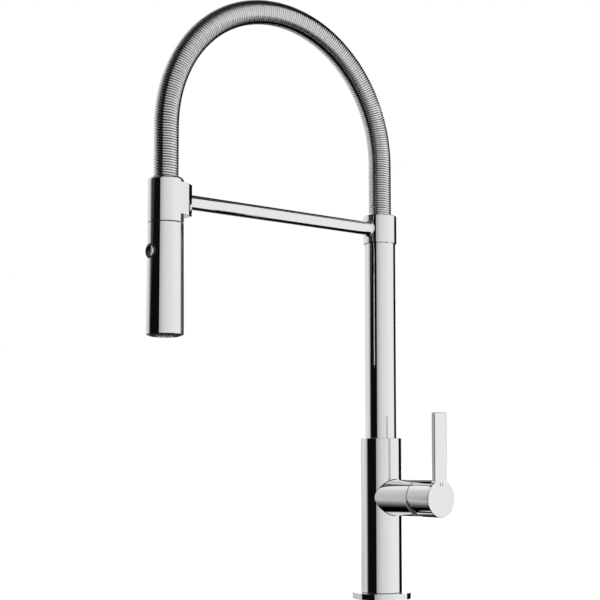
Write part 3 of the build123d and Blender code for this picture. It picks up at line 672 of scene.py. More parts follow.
class Nodes:
    """Makes nodes in one tree."""

    def __init__(self, tree):
        self.tree = tree

    def add(self, kind, settings=None, output=0, **values):
        """Node of a kind with its settings and socket values; returns one of its outputs."""
        node = self.tree.nodes.new(kind)
        for name, value in (settings or {}).items():
            setattr(node, name, value)
        for name, value in values.items():
            plug(self.tree, value, self.socket(node, name))
        return Sock(self.tree, node.outputs[output])

    @staticmethod
    def socket(node, name):
        """Input socket by its name with underscores, or by its number after an n."""
        if name.startswith("n") and name[1:].isdigit():
            return node.inputs[int(name[1:])]
        return node.inputs[name.replace("_", " ")]

    def axes(self, output):
        """X, Y and Z of one of the texture coordinates."""
        where = self.add("ShaderNodeTexCoord", output=output)
        split = self.tree.nodes.new("ShaderNodeSeparateXYZ")
        plug(self.tree, where, split.inputs[0])
        return [Sock(self.tree, axis) for axis in split.outputs]

    def ramp(self, stops, value):
        """Level that follows (value, level) stops."""
        node = self.tree.nodes.new("ShaderNodeValToRGB")
        elements = node.color_ramp.elements
        while len(elements) < len(stops):
            elements.new(1.0)
        for element, (position, level) in zip(elements, stops):
            element.position = position
            element.color = (level, level, level, 1.0)
        plug(self.tree, value, node.inputs[0])
        return self.add("ShaderNodeRGBToBW", Color=Sock(self.tree, node.outputs[0]))

    def leave(self, kind, surface):
        """Output node of a kind that shows a surface."""
        plug(self.tree, surface, self.tree.nodes.new(kind).inputs["Surface"])


def cleared(owner):
    """Empty nodes of a material or a world."""
    owner.use_nodes = True
    owner.node_tree.nodes.clear()
    return Nodes(owner.node_tree)


def surface(name, base, roughness, metallic=0.0, mottle=0.0, grain=600.0, bump=0.0, coat=0.0):
    """Finish with a base colour, and a roughness and relief that vary a little over the piece."""
    material = bpy.data.materials.new(name)
    material.use_nodes = True
    tree = material.node_tree
    shader = tree.nodes["Principled BSDF"]
    shader.inputs["Base Color"].default_value = (*base, 1.0)
    shader.inputs["Metallic"].default_value = metallic
    shader.inputs["Coat Weight"].default_value = coat
    nodes = Nodes(tree)
    where = nodes.add("ShaderNodeTexCoord", output=3)
    noise = nodes.add("ShaderNodeTexNoise", Vector=where, Scale=grain, Detail=3.0)
    plug(tree, roughness + mottle * (noise - 0.5), shader.inputs["Roughness"])
    if bump:
        relief = nodes.add("ShaderNodeBump", Strength=bump, Distance=RELIEF, Height=noise)
        plug(tree, relief, shader.inputs["Normal"])
    FINISHES[name] = material
    return material


def hose_cover(name, base):
    """Dark hose with a fine braid under its cover."""
    tree = surface(name, base, 0.45).node_tree
    nodes = Nodes(tree)
    shader = tree.nodes["Principled BSDF"]
    where = nodes.add("ShaderNodeTexCoord", output=3)
    braid = nodes.add("ShaderNodeTexChecker", output=1, Vector=where, Scale=900.0)
    relief = nodes.add("ShaderNodeBump", Strength=0.4, Distance=BRAID_RELIEF, Height=braid)
    plug(tree, relief, shader.inputs["Normal"])


# Operators


class FAUCET_OT_finishes(bpy.types.Operator):
    """Makes the finishes and gives them to the CAD pieces"""

    bl_idname = "faucet.finishes"
    bl_label = "Finishes"

    def execute(self, context):
        look = context.scene.faucet_finish
        surface(CHROME, look.chrome, look.chrome_roughness, 1.0, mottle=0.012, grain=160.0)
        surface("spring_chrome", look.spring_chrome, look.spring_roughness, 1.0, mottle=0.01)
        surface("brass", look.brass, 0.28, 1.0, mottle=0.12, grain=900.0, bump=0.1)
        surface("steel", look.steel, 0.3, 1.0, mottle=0.12, grain=1200.0, bump=0.1)
        surface("rubber", look.rubber, 0.6, mottle=0.1, grain=1500.0, bump=0.15)
        surface("grey_rubber", look.grey_rubber, 0.5, mottle=0.1, grain=1500.0, bump=0.1)
        hose_cover("hose_cover", look.hose)
        surface("bearing_plastic", look.bearing, 0.4, mottle=0.08, bump=0.05)
        surface("valve_plastic", look.valve, 0.42, mottle=0.08, bump=0.05)
        surface("ceramic", look.ceramic, 0.12, mottle=0.04, coat=0.4)
        surface("spray_face", look.face, 0.38, mottle=0.08, grain=1400.0, bump=0.1)
        surface("mark_enamel", look.enamel, 0.25, mottle=0.05, coat=0.3)
        for part in frame["record"]["subparts"]:
            node = frame["nodes"][part["node"]]
            node.data.materials.clear()
            node.data.materials.append(FINISHES[part["material_slot"]])
        return {"FINISHED"}


class FAUCET_OT_base(bpy.types.Operator):
    """Builds the base flange"""

    bl_idname = "faucet.base"
    bl_label = "Base flange"

    def execute(self, context):
        size = context.scene.faucet_body
        bore = SHANK_R + FIT
        seal_outer = edge_of("base_seal", 1, "X")
        seal_inner = FLANGE_R + SHANK_R - seal_outer
        seal_top = edge_of("base_seal", 1, "Z")
        corners = [
            (bore, 0.0),
            (seal_inner, 0.0),
            (seal_inner, seal_top),
            (seal_outer, seal_top),
            (seal_outer, 0.0),
            (FLANGE_R, 0.0),
            (FLANGE_R, FLANGE_TOP, size.flange_edge),
            (bore, FLANGE_TOP),
        ]
        make_piece("flange", lathe(chamfered(corners)), CHROME, "base", "base_flange")
        return {"FINISHED"}


class FAUCET_OT_body(bpy.types.Operator):
    """Builds the body with its side barrel, and dark strips of painted shade round them"""

    bl_idname = "faucet.body"
    bl_label = "Body and barrel"

    def execute(self, context):
        size = context.scene.faucet_body
        bore = BODY_R - size.wall
        foot_bore = SHANK_R + FIT
        foot = BODY_FOOT + size.foot_gap
        foot_top = 18.2 * MM
        corners = [
            (foot_bore, foot),
            (BODY_R, foot),
            (BODY_R, BODY_TOP, size.edge),
            (COLUMN_R + size.lip_gap, BODY_TOP),
            (COLUMN_R + size.lip_gap, BODY_TOP - size.lip),
            (bore, BODY_TOP - size.lip),
            (bore, foot_top),
            (foot_bore, foot_top),
        ]
        body = mesh_object("body", lathe(rounded(corners)))
        screw_r = 2.5 * MM
        hole_place = placed(0, 0, middle_of("swivel_screw", "Z"), -1, "Y")
        cut(body, rod(screw_r, bore - MM, BODY_R + MM, hole_place, HOSE_STEPS))
        true_normals(body, UPRIGHT, (BODY_R, foot), (BODY_R, BODY_TOP - size.edge))
        finish_piece(body, CHROME, "base", "body_housing")
        cavity = 12.55 * MM
        barrel_start = 5 * MM
        barrel_end = BARREL_END - size.shade_ring_show
        corners = [
            (cavity, barrel_start),
            (size.barrel_radius, barrel_start),
            (size.barrel_radius, barrel_end, size.barrel_edge),
            (size.barrel_bore, barrel_end),
            (size.barrel_bore, NUT_BACK),
            (cavity, NUT_BACK),
        ]
        make_piece("barrel", lathe(rounded(corners), BARREL_AXIS), CHROME, "base", "body_housing")
        # Painted shade: a dark fillet along the barrel's joint stands for the shadow line there.
        joint = saddle(BODY_R, size.barrel_radius, size.joint_radius, Vector((1, 0, 0)), BARREL_Z)
        make_piece("barrel_joint_painted_shade", joint, "rubber", "base")
        # Painted shade: a dark ring in the gap under the body stands for the shadow line where the body
        # meets the flange.
        sink = 0.15 * MM
        foot_shade_r = BODY_R - sink
        foot_shade = [(foot_shade_r - MM, BODY_FOOT), (foot_shade_r, BODY_FOOT), (foot_shade_r, foot), (foot_shade_r - MM, foot)]
        make_piece("foot_seal", lathe(foot_shade), "rubber", "base")
        return {"FINISHED"}


class FAUCET_OT_nut(bpy.types.Operator):
    """Builds the domed nut that holds the cartridge, and a grey ring of painted shade at the barrel's end"""

    bl_idname = "faucet.nut"
    bl_label = "Cartridge nut"

    def execute(self, context):
        dome = NUT_FRONT - BARREL_END
        dome_r = 13.5 * MM
        tip = math.asin(dome / dome_r)
        curve = arc(0, 0, dome_r, math.pi / 2, math.pi / 2 - tip, 10)
        outline = [(NUT_R, NUT_BACK), (NUT_R, BARREL_END)]
        outline.extend((y, BARREL_END + x) for x, y in curve)
        mouth = 9.4 * MM
        bore = 10.95 * MM
        bore_end = 44.5 * MM
        outline.extend([(mouth, NUT_FRONT), (mouth, bore_end), (bore, bore_end), (bore, NUT_BACK)])
        make_piece("cartridge_nut_dome", lathe(outline, BARREL_AXIS), CHROME, "base", "cartridge_nut")
        # Painted shade: a grey ring in the gap between barrel and lever stands for the shadow there.
        lap = 0.2 * MM
        sink = 0.45 * MM
        gap = 0.1 * MM
        inner = dome_r - lap
        outer = CAP_R - sink
        front = CAP_BACK - gap
        back = BARREL_END - context.scene.faucet_body.shade_ring_show
        ring = [(inner, back), (outer, back), (outer, front), (inner, front)]
        make_piece("barrel_seal", lathe(ring, BARREL_AXIS), "grey_rubber", "base", slot="rubber")
        return {"FINISHED"}


class FAUCET_OT_column(bpy.types.Operator):
    """Builds the column"""

    bl_idname = "faucet.column"
    bl_label = "Column"

    def execute(self, context):
        size = context.scene.faucet_column
        inner = COLUMN_R - size.column_wall
        outer = COLUMN_R
        outline = [(outer, COLUMN_FOOT), (outer, COLUMN_TOP), (inner, COLUMN_TOP), (inner, COLUMN_FOOT)]
        make_piece("column", lathe(outline), CHROME, "spout", "column_tube")
        return {"FINISHED"}


class FAUCET_OT_collar(bpy.types.Operator):
    """Builds the collar with the arm that carries the holder"""

    bl_idname = "faucet.collar"
    bl_label = "Collar and arm"

    def execute(self, context):
        size = context.scene.faucet_column
        socket = COLUMN_R + FIT
        seat = SPRING_R + FIT
        corners = [
            (socket, COLLAR_FOOT),
            (COLLAR_R, COLLAR_FOOT, size.collar_edge),
            (COLLAR_R, COLLAR_TOP, size.collar_edge),
            (seat, COLLAR_TOP),
            (seat, COLLAR_TOP - size.seat_depth),
            (HOSE_PASSAGE, COLLAR_TOP - size.seat_depth),
            (HOSE_PASSAGE, COLUMN_TOP),
            (socket, COLUMN_TOP),
        ]
        collar = mesh_object("collar", lathe(chamfered(corners)))
        screw_r = 2 * MM
        screw_depth = 2 * MM
        hole_place = placed(0, 0, middle_of("collar_screw", "Z"), -1, "X")
        cut(collar, rod(screw_r, COLLAR_R - screw_depth, COLLAR_R + MM, hole_place, SCREW_STEPS))
        low = COLLAR_FOOT + size.collar_edge
        high = COLLAR_TOP - size.collar_edge
        true_normals(collar, UPRIGHT, (COLLAR_R, low), (COLLAR_R, high))
        finish_piece(collar, CHROME, "spout", "collar_arm")
        overlap = 3 * MM
        bar = rod(size.arm_radius, COLLAR_R - overlap, -ARM_END, ARM_AXIS)
        root = saddle(COLLAR_R, size.arm_radius, size.arm_fillet, Vector((0, -1, 0)), ARM_Z)
        make_piece("arm", merged(bar, root), CHROME, "spout", "collar_arm")
        return {"FINISHED"}


class FAUCET_OT_spring(bpy.types.Operator):
    """Winds the spring along the arch with Geometry Nodes"""

    bl_idname = "faucet.spring"
    bl_label = "Spring"

    def execute(self, context):
        size = context.scene.faucet_spring
        reach = -DOCK_Y
        arch_r = reach / 2
        arch_z = edge_of("spring_coil", 1, "Z") - arch_r - SPRING_R
        dock_end = DOCK_TOP - context.scene.faucet_dock.seat_depth
        rise = arch_z - SPRING_FOOT
        whole = rise + math.pi * arch_r + arch_z - dock_end
        tree = bpy.data.node_groups.new("wound_spring", "GeometryNodeTree")
        tree.interface.new_socket("Geometry", in_out="OUTPUT", socket_type="NodeSocketGeometry")
        values = {
            "Coil radius": SPRING_R - size.wire / 2,
            "Wire radius": size.wire / 2,
            "Pitch": size.pitch,
            "Arch radius": arch_r,
            "Arch height": arch_z,
            "Rise": rise,
            "Length": whole,
        }
        counts = {"Points": int(whole / size.pitch * size.turn_points), "Sides": size.wire_sides}
        sockets = {}
        for name in values:
            sockets[name] = tree.interface.new_socket(name, in_out="INPUT", socket_type="NodeSocketFloat")
        for name in counts:
            sockets[name] = tree.interface.new_socket(name, in_out="INPUT", socket_type="NodeSocketInt")
        nodes = Nodes(tree)
        entry = tree.nodes.new("NodeGroupInput")
        take = {name: Sock(tree, entry.outputs[name]) for name in sockets}
        points = take["Points"]
        line = nodes.add("GeometryNodeMeshLine", {"mode": "OFFSET"}, Count=points, Offset=(0, 0, MM))
        index = nodes.add("GeometryNodeInputIndex")
        along = index / (points - 1) * take["Length"]
        past = along - take["Rise"]
        bend = (past / take["Arch radius"]).clamp(0, math.pi)
        fall = (past - math.pi * take["Arch radius"]).clamp(0, 1)
        climb = past.clamp(-1, 0)
        wind = along / take["Pitch"] * (2 * math.pi)
        out = wind.cos() * take["Coil radius"]
        radius = take["Arch radius"] + out
        x = wind.sin() * take["Coil radius"]
        y = bend.cos() * radius - take["Arch radius"]
        z = bend.sin() * radius + take["Arch height"] + climb - fall
        place = nodes.add("ShaderNodeCombineXYZ", X=x, Y=y, Z=z)
        wound = nodes.add("GeometryNodeSetPosition", Geometry=line, Position=place)
        curve = nodes.add("GeometryNodeMeshToCurve", Mesh=wound)
        section = nodes.add(
            "GeometryNodeCurvePrimitiveCircle",
            {"mode": "RADIUS"},
            Resolution=take["Sides"],
            Radius=take["Wire radius"],
        )
        wire = nodes.add("GeometryNodeCurveToMesh", Curve=curve, Profile_Curve=section, Fill_Caps=True)
        smooth = nodes.add("GeometryNodeSetShadeSmooth", Geometry=wire, Shade_Smooth=True)
        real = nodes.add("GeometryNodeRealizeInstances", Geometry=smooth)
        set_material = tree.nodes.new("GeometryNodeSetMaterial")
        set_material.inputs["Material"].default_value = FINISHES["spring_chrome"]
        plug(tree, real, set_material.inputs["Geometry"])
        leave = tree.nodes.new("NodeGroupOutput")
        tree.links.new(set_material.outputs[0], leave.inputs[0])
        spring = bpy.data.objects.new("spring", bpy.data.meshes.new("spring"))
        context.scene.collection.objects.link(spring)
        modifier = spring.modifiers.new("Wound spring", "NODES")
        modifier.node_group = tree
        for name, value in {**values, **counts}.items():
            modifier[sockets[name].identifier] = value
        evaluated(spring)
        finish_piece(spring, "spring_chrome", "spout", "spring_coil")
        return {"FINISHED"}


class FAUCET_OT_dock(bpy.types.Operator):
    """Builds the docking holder and the plate between it and the arm"""

    bl_idname = "faucet.dock"
    bl_label = "Docking holder"

    def execute(self, context):
        size = context.scene.faucet_dock
        seat = SPRING_R + FIT
        foot = DOCK_FOOT + size.foot_gap
        rim = arc(DOCK_R - size.rim_radius, DOCK_TOP - size.rim_radius, size.rim_radius, 0, math.pi / 2, 16)
        outline = [
            (size.bore, foot),
            (DOCK_R, foot),
            *rim,
            (seat, DOCK_TOP),
            (seat, DOCK_TOP - size.seat_depth),
            (HOSE_PASSAGE, DOCK_TOP - size.seat_depth),
            (HOSE_PASSAGE, DOCK_FOOT + size.bore_depth),
            (size.bore, DOCK_FOOT + size.bore_depth),
        ]
        round_part = lathe(outline, DOCK_AXIS)
        end_x = size.end_width / 2
        end_y = BLOCK_END - DOCK_Y
        touch = math.atan2(end_y, end_x) - math.acos(DOCK_R / math.hypot(end_x, end_y))
        side = (DOCK_R * math.cos(touch), DOCK_R * math.sin(touch))
        wall_r = (size.bore + DOCK_R) / 2
        corners = [
            side,
            (end_x, end_y, size.end_radius),
            (-end_x, end_y, size.end_radius),
            (-side[0], side[1]),
            *arc(0, 0, wall_r, math.pi - touch, touch, 40),
        ]
        tall = BLOCK_H / 2
        edges = {"edge": size.edge, "edge_steps": 3, "eased_bottom": True}
        block = prism(rounded(corners, steps=12), DOCK_AXIS, ARM_Z - tall, ARM_Z + tall, **edges)
        make_piece("docking_holder", merged(round_part, block), CHROME, "spout", "dock_housing")
        half = end_x - size.plate_inset
        r = size.plate_corner
        corners = [(-half, -tall, r), (half, -tall, r), (half, tall, r), (-half, tall, r)]
        plate = prism(rounded(corners, steps=10), ARM_AXIS, -BLOCK_END, -ARM_END, **edges)
        depth = BLOCK_END - ARM_END
        for vert in plate[0]:
            vert.x *= 1 - size.plate_taper / half * (vert.y - BLOCK_END) / -depth
        make_piece("arm_end_plate", plate, CHROME, "spout", "arm_plate")
        return {"FINISHED"}


class FAUCET_OT_lever(bpy.types.Operator):
    """Builds the lever: cap, front disc and upright blade"""

    bl_idname = "faucet.lever"
    bl_label = "Lever"

    def outline(self, size):
        """Disc with the blade, counter-clockwise, in the lever's plane."""
        half = size.blade_width / 2
        top = BLADE_TOP - BARREL_Z
        fillet = size.root_radius
        centre_x = half + fillet
        centre_y = math.sqrt((CAP_R + fillet) ** 2 - centre_x**2)
        touch = math.atan2(centre_y, centre_x)
        disc = arc(0, 0, CAP_R, math.pi - touch, 2 * math.pi + touch, STEPS)
        right = arc(centre_x, centre_y, fillet, math.pi + touch, math.pi, 16)
        r = size.corner_radius
        tip = arc(half - r, top - r, r, 0, math.pi / 2, CORNER_STEPS)
        tip += arc(r - half, top - r, r, math.pi / 2, math.pi, CORNER_STEPS)
        left = arc(-centre_x, centre_y, fillet, 0, -touch, 16)
        return disc[:-1] + right + tip + left[:-1]

    def cap(self, size):
        """Cap's round wall, cut back under the axis, with its closed end."""
        join = LEVER_FACE - size.plate_thickness
        floor = LEVER_FACE - size.cap_end
        inner = CAP_R - size.cap_wall
        verts, faces = [], []
        for step in range(STEPS):
            angle = 2 * math.pi * step / STEPS
            for radius, depth in ((CAP_R, None), (CAP_R, join), (inner, None), (inner, floor)):
                height = radius * math.sin(angle)
                rim = CAP_BACK + size.relief * min(max(-height / size.relief_depth, 0.0), 1.0)
                x = rim if depth is None else depth
                verts.append(Vector((x, radius * math.cos(angle), BARREL_Z + height)))
        for step in range(STEPS):
            a = step * 4
            b = (step + 1) % STEPS * 4
            faces.append((a, b, b + 1, a + 1))
            faces.append((a, a + 2, b + 2, b))
            faces.append((a + 2, a + 3, b + 3, b + 2))
        faces.append(tuple(step * 4 + 1 for step in range(STEPS)))
        faces.append(tuple(step * 4 + 3 for step in range(STEPS)))
        return verts, faces

    def execute(self, context):
        size = context.scene.faucet_lever
        pockets = []
        for mark in ("hot_mark", "cold_mark"):
            low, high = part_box(mark)
            y0, y1 = low[1], high[1]
            z0, z1 = low[2] - BARREL_Z, high[2] - BARREL_Z
            pockets.append([(y0, z0), (y0, z1), (y1, z1), (y1, z0)])
        plate = prism(
            self.outline(size),
            LEVER_PLANE,
            LEVER_FACE - size.plate_thickness,
            LEVER_FACE,
            edge=size.edge,
            edge_steps=6,
            pockets=pockets,
            pocket_depth=LEVER_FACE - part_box("hot_mark")[0][0],
        )
        hub_end = LEVER_FACE - size.cap_end
        hub_start = hub_end - size.hub_length
        hub = rod(size.hub_radius, hub_start, hub_end, BARREL_AXIS, HUB_STEPS)
        make_piece("lever", merged(plate, hub), CHROME, "handle", "lever_handle")
        cap = mesh_object("lever_cap", self.cap(size))
        place = placed(middle_of("lever_screw", "X"), 0, BARREL_Z, -1, "X")
        screw_depth = 4 * MM
        cut(cap, rod(size.screw_radius, CAP_R - screw_depth, CAP_R + MM, place, SCREW_STEPS))
        join = LEVER_FACE - size.plate_thickness
        true_normals(cap, BARREL_AXIS, (CAP_R, CAP_BACK), (CAP_R, join))
        finish_piece(cap, CHROME, "handle", "lever_handle")
        return {"FINISHED"}


class FAUCET_OT_spray(bpy.types.Operator):
    """Builds the spray head's shell, the rim round its aerator, its button and the rings round the button"""

    bl_idname = "faucet.spray"
    bl_label = "Spray head"

    def execute(self, context):
        size = context.scene.faucet_spray
        corners = [
            (SPRAY_R - size.wall, SPRAY_FOOT),
            (SPRAY_R, SPRAY_FOOT, size.edge),
            (size.top_radius, SPRAY_TOP, size.edge),
            (size.neck_radius, SPRAY_TOP),
            (size.neck_radius, SPRAY_TOP - size.roof),
            (size.top_radius - size.wall, SPRAY_TOP - size.roof),
        ]
        shell = mesh_object("spray_shell_skin", lathe(chamfered(corners), DOCK_AXIS))
        lap = 0.3 * MM
        hole_r = RING_R - lap
        hole_back = 8 * MM
        hole_front = 20 * MM
        cut(shell, rod(hole_r, hole_back, hole_front, BUTTON_AXIS, HUB_STEPS))
        true_normals(shell, DOCK_AXIS, (SPRAY_R, SPRAY_FOOT), (size.top_radius, SPRAY_TOP))
        finish_piece(shell, CHROME, "spray", "spray_shell")
        outer = edge_of("aerator", 1, "X")
        inner = outer - size.aerator_rim
        gap = 0.02 * MM
        high = edge_of("aerator", 0, "Z") - gap
        low = edge_of("face_plate", 0, "Z") + size.rim_lift
        soft = size.aerator_rim / 4
        corners = [(inner, low, soft), (outer, low, soft), (outer, high), (inner, high)]
        make_piece("aerator_rim", lathe(rounded(corners), DOCK_AXIS), CHROME, "spray")
        lean = Matrix.Identity(4)
        tilt = math.tan(size.face_turn)
        lean[2][0] = -tilt
        place = BUTTON_AXIS @ lean
        rear = DOCK_Y - BUTTON_BACK + size.rear_gap
        rim = DOCK_Y - RING_FRONT - size.ring_sink
        bore = BUTTON_R + size.ring_gap
        ring_r = size.bezel_radius
        ring = chamfered([(bore, rear), (ring_r, rear), (ring_r, rim, size.ring_edge), (bore, rim)])
        make_piece("button_ring_bezel", lathe(ring, place, BUTTON_STEPS), CHROME, "spray", "button_ring")
        start = ring_r + size.ring_gap
        front = rim - size.bezel_gap
        outer = RING_R - size.ring_gap
        bezel = rounded([(start, rear), (outer, rear), (outer, front, size.bezel_edge), (start, front)])
        make_piece("button_bezel", lathe(bezel, place, BUTTON_STEPS), "spray_face", "spray")
        dish_r = (BUTTON_R**2 + size.dish_depth**2) / (2 * size.dish_depth)
        reach = math.asin(BUTTON_R / dish_r)
        top = rim - size.dish_depth + dish_r
        hollow = arc(0, top, dish_r, reach - math.pi / 2, -math.pi / 2, 14)
        back = rear + BUTTON_R * tilt
        cap = [(0, back), (BUTTON_R, back), *hollow[:-1], (0, hollow[-1][1])]
        make_piece("button_cap", lathe(cap, place, BUTTON_STEPS), CHROME, "button", "spray_button")
        return {"FINISHED"}


class FAUCET_OT_button_spring(bpy.types.Operator):
    """Winds the spring behind the button"""

    bl_idname = "faucet.button_spring"
    bl_label = "Button spring"

    def execute(self, context):
        size = context.scene.faucet_spray
        sides = 10
        turn_steps = 28
        wire_r = size.coil_wire / 2
        radius = edge_of("button_spring", 1, "X") - wire_r
        start = edge_of("button_spring", 0, "Y") + wire_r
        end = edge_of("spray_core", 1, "Y") - size.coil_floor - wire_r
        steps = int(size.coil_turns * turn_steps)
        verts, faces = [], []
        for step in range(steps + 1):
            angle = 2 * math.pi * step / turn_steps
            out = Vector((math.cos(angle), 0, math.sin(angle)))
            centre = Vector((0, start + (end - start) * step / steps, BUTTON_Z)) + out * radius
            for side in range(sides):
                turn = 2 * math.pi * side / sides
                verts.append(centre + (out * math.cos(turn) + Vector((0, math.sin(turn), 0))) * wire_r)
        for step in range(steps):
            faces.extend(band(step * sides, (step + 1) * sides, sides))
        faces.append(tuple(range(sides)))
        faces.append(tuple(range(steps * sides, (steps + 1) * sides)))
        spring = mesh_object("button_return_spring", (verts, faces))
        even_normals(spring)
        spring.data.materials.append(FINISHES["steel"])
        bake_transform(spring)
        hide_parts("button_spring")
        return {"FINISHED"}


class FAUCET_OT_hose_tail(bpy.types.Operator):
    """Builds the end of the hose"""

    bl_idname = "faucet.hose_tail"
    bl_label = "Hose tail"

    def execute(self, context):
        rows = 60
        bore = 3.8 * MM
        outside = [(HOSE_R, TAIL_FOOT + (TAIL_TOP - TAIL_FOOT) * i / rows) for i in range(rows + 1)]
        inside = [(bore, height) for radius, height in reversed(outside)]
        tail = mesh_object("hose_end_sleeve", lathe(outside + inside, DOCK_AXIS, HOSE_STEPS))
        tail.data.materials.append(FINISHES["hose_cover"])
        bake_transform(tail)
        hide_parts("hose_tail")
        return {"FINISHED"}


class FAUCET_OT_studio(bpy.types.Operator):
    """Builds the floor, the reflected cards, the lamp and the camera"""

    bl_idname = "faucet.studio"
    bl_label = "Studio"

    def sheet(self, name, corners):
        """Flat sheet with an empty material; returns the sheet and the material's nodes."""
        mesh = bpy.data.meshes.new(name)
        mesh.from_pydata(corners, [], [tuple(range(len(corners)))])
        sheet = bpy.data.objects.new(name, mesh)
        bpy.context.scene.collection.objects.link(sheet)
        material = bpy.data.materials.new(name)
        mesh.materials.append(material)
        return sheet, cleared(material)

    def card(self, name, corners, level):
        """Card that only shows in reflections. level is its brightness, or makes it from the position."""
        card, nodes = self.sheet(name, corners)
        card.visible_camera = False
        card.visible_diffuse = False
        card.visible_shadow = False
        card.visible_transmission = False
        axes = nodes.axes(3)
        strength = level(nodes, *axes) if callable(level) else level
        glow = nodes.add("ShaderNodeEmission", Color=WHITE, Strength=strength)
        nodes.leave("ShaderNodeOutputMaterial", glow)

    def cards(self, settings):
        """Dark cards to the left, behind and above, and a white and a grey card behind."""
        black = settings.card_black
        start = Vector((-0.536, -0.72, 0))
        end = Vector((0.66, -1.884, 0))
        along = (end - start).normalized()
        reach = (end - start).length
        rim = -0.084
        left_start = 0.08
        edge_reach = 0.42
        edge_width = 0.5
        edge_stops = [(0.0, 0.80), (0.266, 0.69), (0.52, 0.56), (0.63, 0.52), (0.69, 0.42)]
        edge_stops += [(0.76, 0.22), (0.84, 0.06), (1.0, 0.0)]
        wedge_z = 0.26
        wedge_slope = 0.6
        wedge_sharpness = 30.0
        back_y = 1.158
        back_slope = 0.297
        over_z = 2.6

        def spot(distance, height):
            return tuple(start + along * distance + Vector((0, 0, height)))

        def distance(x, y):
            return (x - start.x) * along.x + (y - start.y) * along.y

        def dim_wedge(nodes, x, y, z):
            high = (z - wedge_z - wedge_slope * distance(x, y)) * wedge_sharpness
            return black + high.clamp(0, 1) * (settings.card_dim - black)

        def soft_edge(nodes, x, y, z):
            place = (distance(x, y) + edge_reach) / edge_width
            return nodes.ramp(edge_stops, place) + place.clamp(0, 1) * dim_wedge(nodes, x, y, z)

        def back(x, z):
            return x, back_y + back_slope * x, z

        def over(x, y):
            return x, y, over_z

        def rectangle(point, left, right, low, high):
            return [point(left, low), point(right, low), point(right, high), point(left, high)]

        left = [(left_start, rim), (reach, rim), (reach, 1.4), (reach + 0.6, 1.5), (reach + 0.6, 3.0)]
        left.append((left_start, 3.0))
        behind = [(-1.02, -0.2), (-1.12, -0.7), (-1.0, -1.7), (0.31, -1.7), (0.31, 0.9)]
        behind += [(-0.86, 0.9), (-0.86, 0.02)]
        above = [(-0.86, 0.9), (0.31, 0.9), (0.81, 2.59), (-2.9, 2.59), (-2.9, 2.3)]
        above += [(-2.0, 1.8), (-1.65, 1.55), (-1.3, 0.95)]
        self.card("card_foot", rectangle(spot, -0.01, reach, -0.7, rim), black)
        self.card("card_left", [spot(*corner) for corner in left], dim_wedge)
        self.card("card_edge", rectangle(spot, -edge_reach, left_start, rim, 2.0), soft_edge)
        self.card("card_behind", [back(*corner) for corner in behind], black)
        self.card("card_above", [back(*corner) for corner in above], black)
        self.card("card_side_high", rectangle(back, -1.6, -1.2, 0.045, 0.9), black)
        self.card("card_side_low", rectangle(back, -1.6, -1.2, -0.4, -0.07), black)
        self.card("card_over", rectangle(over, -2.45, 1.5, -1.4, 1.6), black)
        self.card("card_white", rectangle(back, -1.1, -0.865, 0.11, 0.16), settings.card_white)
        self.card("card_grey", rectangle(back, -1.2, -0.86, 0.2, 0.9), settings.card_grey)

    def world(self, context):
        """White to the camera, and a soft room with a darker left side in reflections and as light."""
        world = bpy.data.worlds.new("studio_room")
        context.scene.world = world
        nodes = cleared(world)
        x, y, z = nodes.axes(0)
        compass = y.math("ARCTAN2", y, x) / (2 * math.pi) + 0.5
        stops = [(0.0, 0.80), (0.285, 0.80), (0.29, 0.36), (0.322, 0.47), (0.347, 0.58)]
        stops += [(0.369, 0.65), (0.389, 0.71), (0.444, 0.78), (0.5, 0.83), (0.556, 0.88)]
        stops += [(0.60, 0.91), (0.70, 0.90), (0.75, 0.86), (0.88, 0.80)]
        around = nodes.ramp(stops, compass)
        stops = [(0.19, 0.0), (0.208, 0.03), (0.232, 0.09), (0.257, 0.15), (0.286, 0.246), (0.316, 0.34)]
        stops += [(0.347, 0.46), (0.381, 0.585), (0.416, 0.71), (0.4615, 0.77), (0.5, 1.0)]
        below = nodes.ramp(stops, z * 0.5 + 0.5)
        steep = (-0.5 - z - y.clamp(0, 1) * 0.5).clamp(0, 1)
        left = (x * -3.3 + steep * 16.0).clamp(0, 1)
        upward = 1.0 + 0.2 * z.clamp(0, 1) * left
        room = around * upward * (1.0 - left + left * below)
        camera = nodes.add("ShaderNodeLightPath", output=0)
        strength = camera + (1.0 - camera) * room
        light = nodes.add("ShaderNodeBackground", Color=WHITE, Strength=strength)
        nodes.leave("ShaderNodeOutputWorld", light)

    def floor(self):
        """Pale floor that clips to white for the camera and keeps the object's shadow."""
        far = 30.0
        grey = 0.5
        floor_glow = 0.75
        floor, nodes = self.sheet("floor", [(-far, -far, 0), (far, -far, 0), (far, far, 0), (-far, far, 0)])
        floor.visible_glossy = False
        matt = nodes.add("ShaderNodeBsdfDiffuse", Color=(grey, grey, grey, 1.0))
        camera = nodes.add("ShaderNodeLightPath", output=0)
        glow = nodes.add("ShaderNodeEmission", Color=WHITE, Strength=camera * floor_glow)
        nodes.leave("ShaderNodeOutputMaterial", nodes.add("ShaderNodeAddShader", n0=matt, n1=glow))

    def lamp(self, context, power):
        """Soft square lamp that can't be seen."""
        lamp = bpy.data.lights.new("soft_lamp", "AREA")
        lamp.shape = "SQUARE"
        lamp.size = LAMP_SIZE
        lamp.energy = power
        lamp_object = bpy.data.objects.new("soft_lamp", lamp)
        lamp_object.location = LAMP_PLACE
        lamp_object.rotation_euler = (LAMP_AIM - LAMP_PLACE).to_track_quat("-Z", "Y").to_euler()
        lamp_object.visible_glossy = False
        lamp_object.visible_camera = False
        context.scene.collection.objects.link(lamp_object)

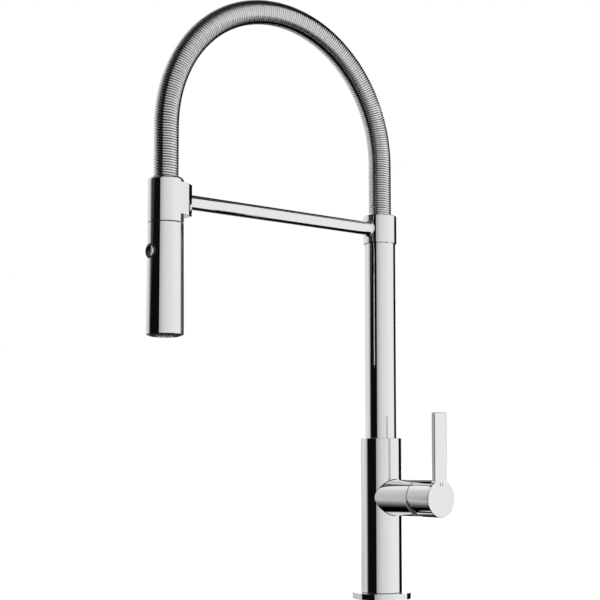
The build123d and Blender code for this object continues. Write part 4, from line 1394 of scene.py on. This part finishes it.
    def camera(self, context, lens):
        """Camera that looks slightly up, with its picture shifted."""
        camera = bpy.data.cameras.new("camera")
        camera.sensor_width = 36.0
        camera.lens = lens
        camera.shift_y = CAMERA_SHIFT
        camera_object = bpy.data.objects.new("camera", camera)
        camera_object.location = CAMERA_PLACE
        camera_object.rotation_euler = (math.radians(90 + CAMERA_TILT), 0, math.radians(CAMERA_TURN))
        context.scene.collection.objects.link(camera_object)
        context.scene.camera = camera_object

    def execute(self, context):
        settings = context.scene.faucet_studio
        self.world(context)
        self.floor()
        self.cards(settings)
        self.lamp(context, settings.lamp_power)
        self.camera(context, settings.lens)
        context.scene.view_settings.view_transform = "Standard"
        return {"FINISHED"}


OPERATORS = [
    FAUCET_OT_finishes,
    FAUCET_OT_base,
    FAUCET_OT_body,
    FAUCET_OT_nut,
    FAUCET_OT_column,
    FAUCET_OT_collar,
    FAUCET_OT_spring,
    FAUCET_OT_dock,
    FAUCET_OT_lever,
    FAUCET_OT_spray,
    FAUCET_OT_button_spring,
    FAUCET_OT_hose_tail,
    FAUCET_OT_studio,
]


class FAUCET_PT_panel(bpy.types.Panel):
    """Lists the faucet's pieces and their sizes."""

    bl_idname = "FAUCET_PT_panel"
    bl_label = "Kitchen faucet"
    bl_space_type = "VIEW_3D"
    bl_region_type = "UI"
    bl_category = "Faucet"

    def draw(self, context):
        for operator in OPERATORS:
            self.layout.operator(operator.bl_idname)
        for name, group in PROPERTY_GROUPS.items():
            box = self.layout.box()
            settings = getattr(context.scene, name)
            for key in group.__annotations__:
                box.prop(settings, key)


def register():
    """Registers the classes and their settings on the scene."""
    for group in PROPERTY_GROUPS.values():
        bpy.utils.register_class(group)
    for name, group in PROPERTY_GROUPS.items():
        setattr(bpy.types.Scene, name, PointerProperty(type=group))
    for cls in [*OPERATORS, FAUCET_PT_panel]:
        bpy.utils.register_class(cls)


def unregister():
    """Removes the classes and their settings again."""
    for cls in [FAUCET_PT_panel, *reversed(OPERATORS)]:
        bpy.utils.unregister_class(cls)
    for name, group in PROPERTY_GROUPS.items():
        delattr(bpy.types.Scene, name)
        bpy.utils.unregister_class(group)


def main():
    """Registers the add-on and builds everything."""
    register()
    for operator in OPERATORS:
        group, name = operator.bl_idname.split(".")
        getattr(getattr(bpy.ops, group), name)()


if __name__ == "__main__":
    main()
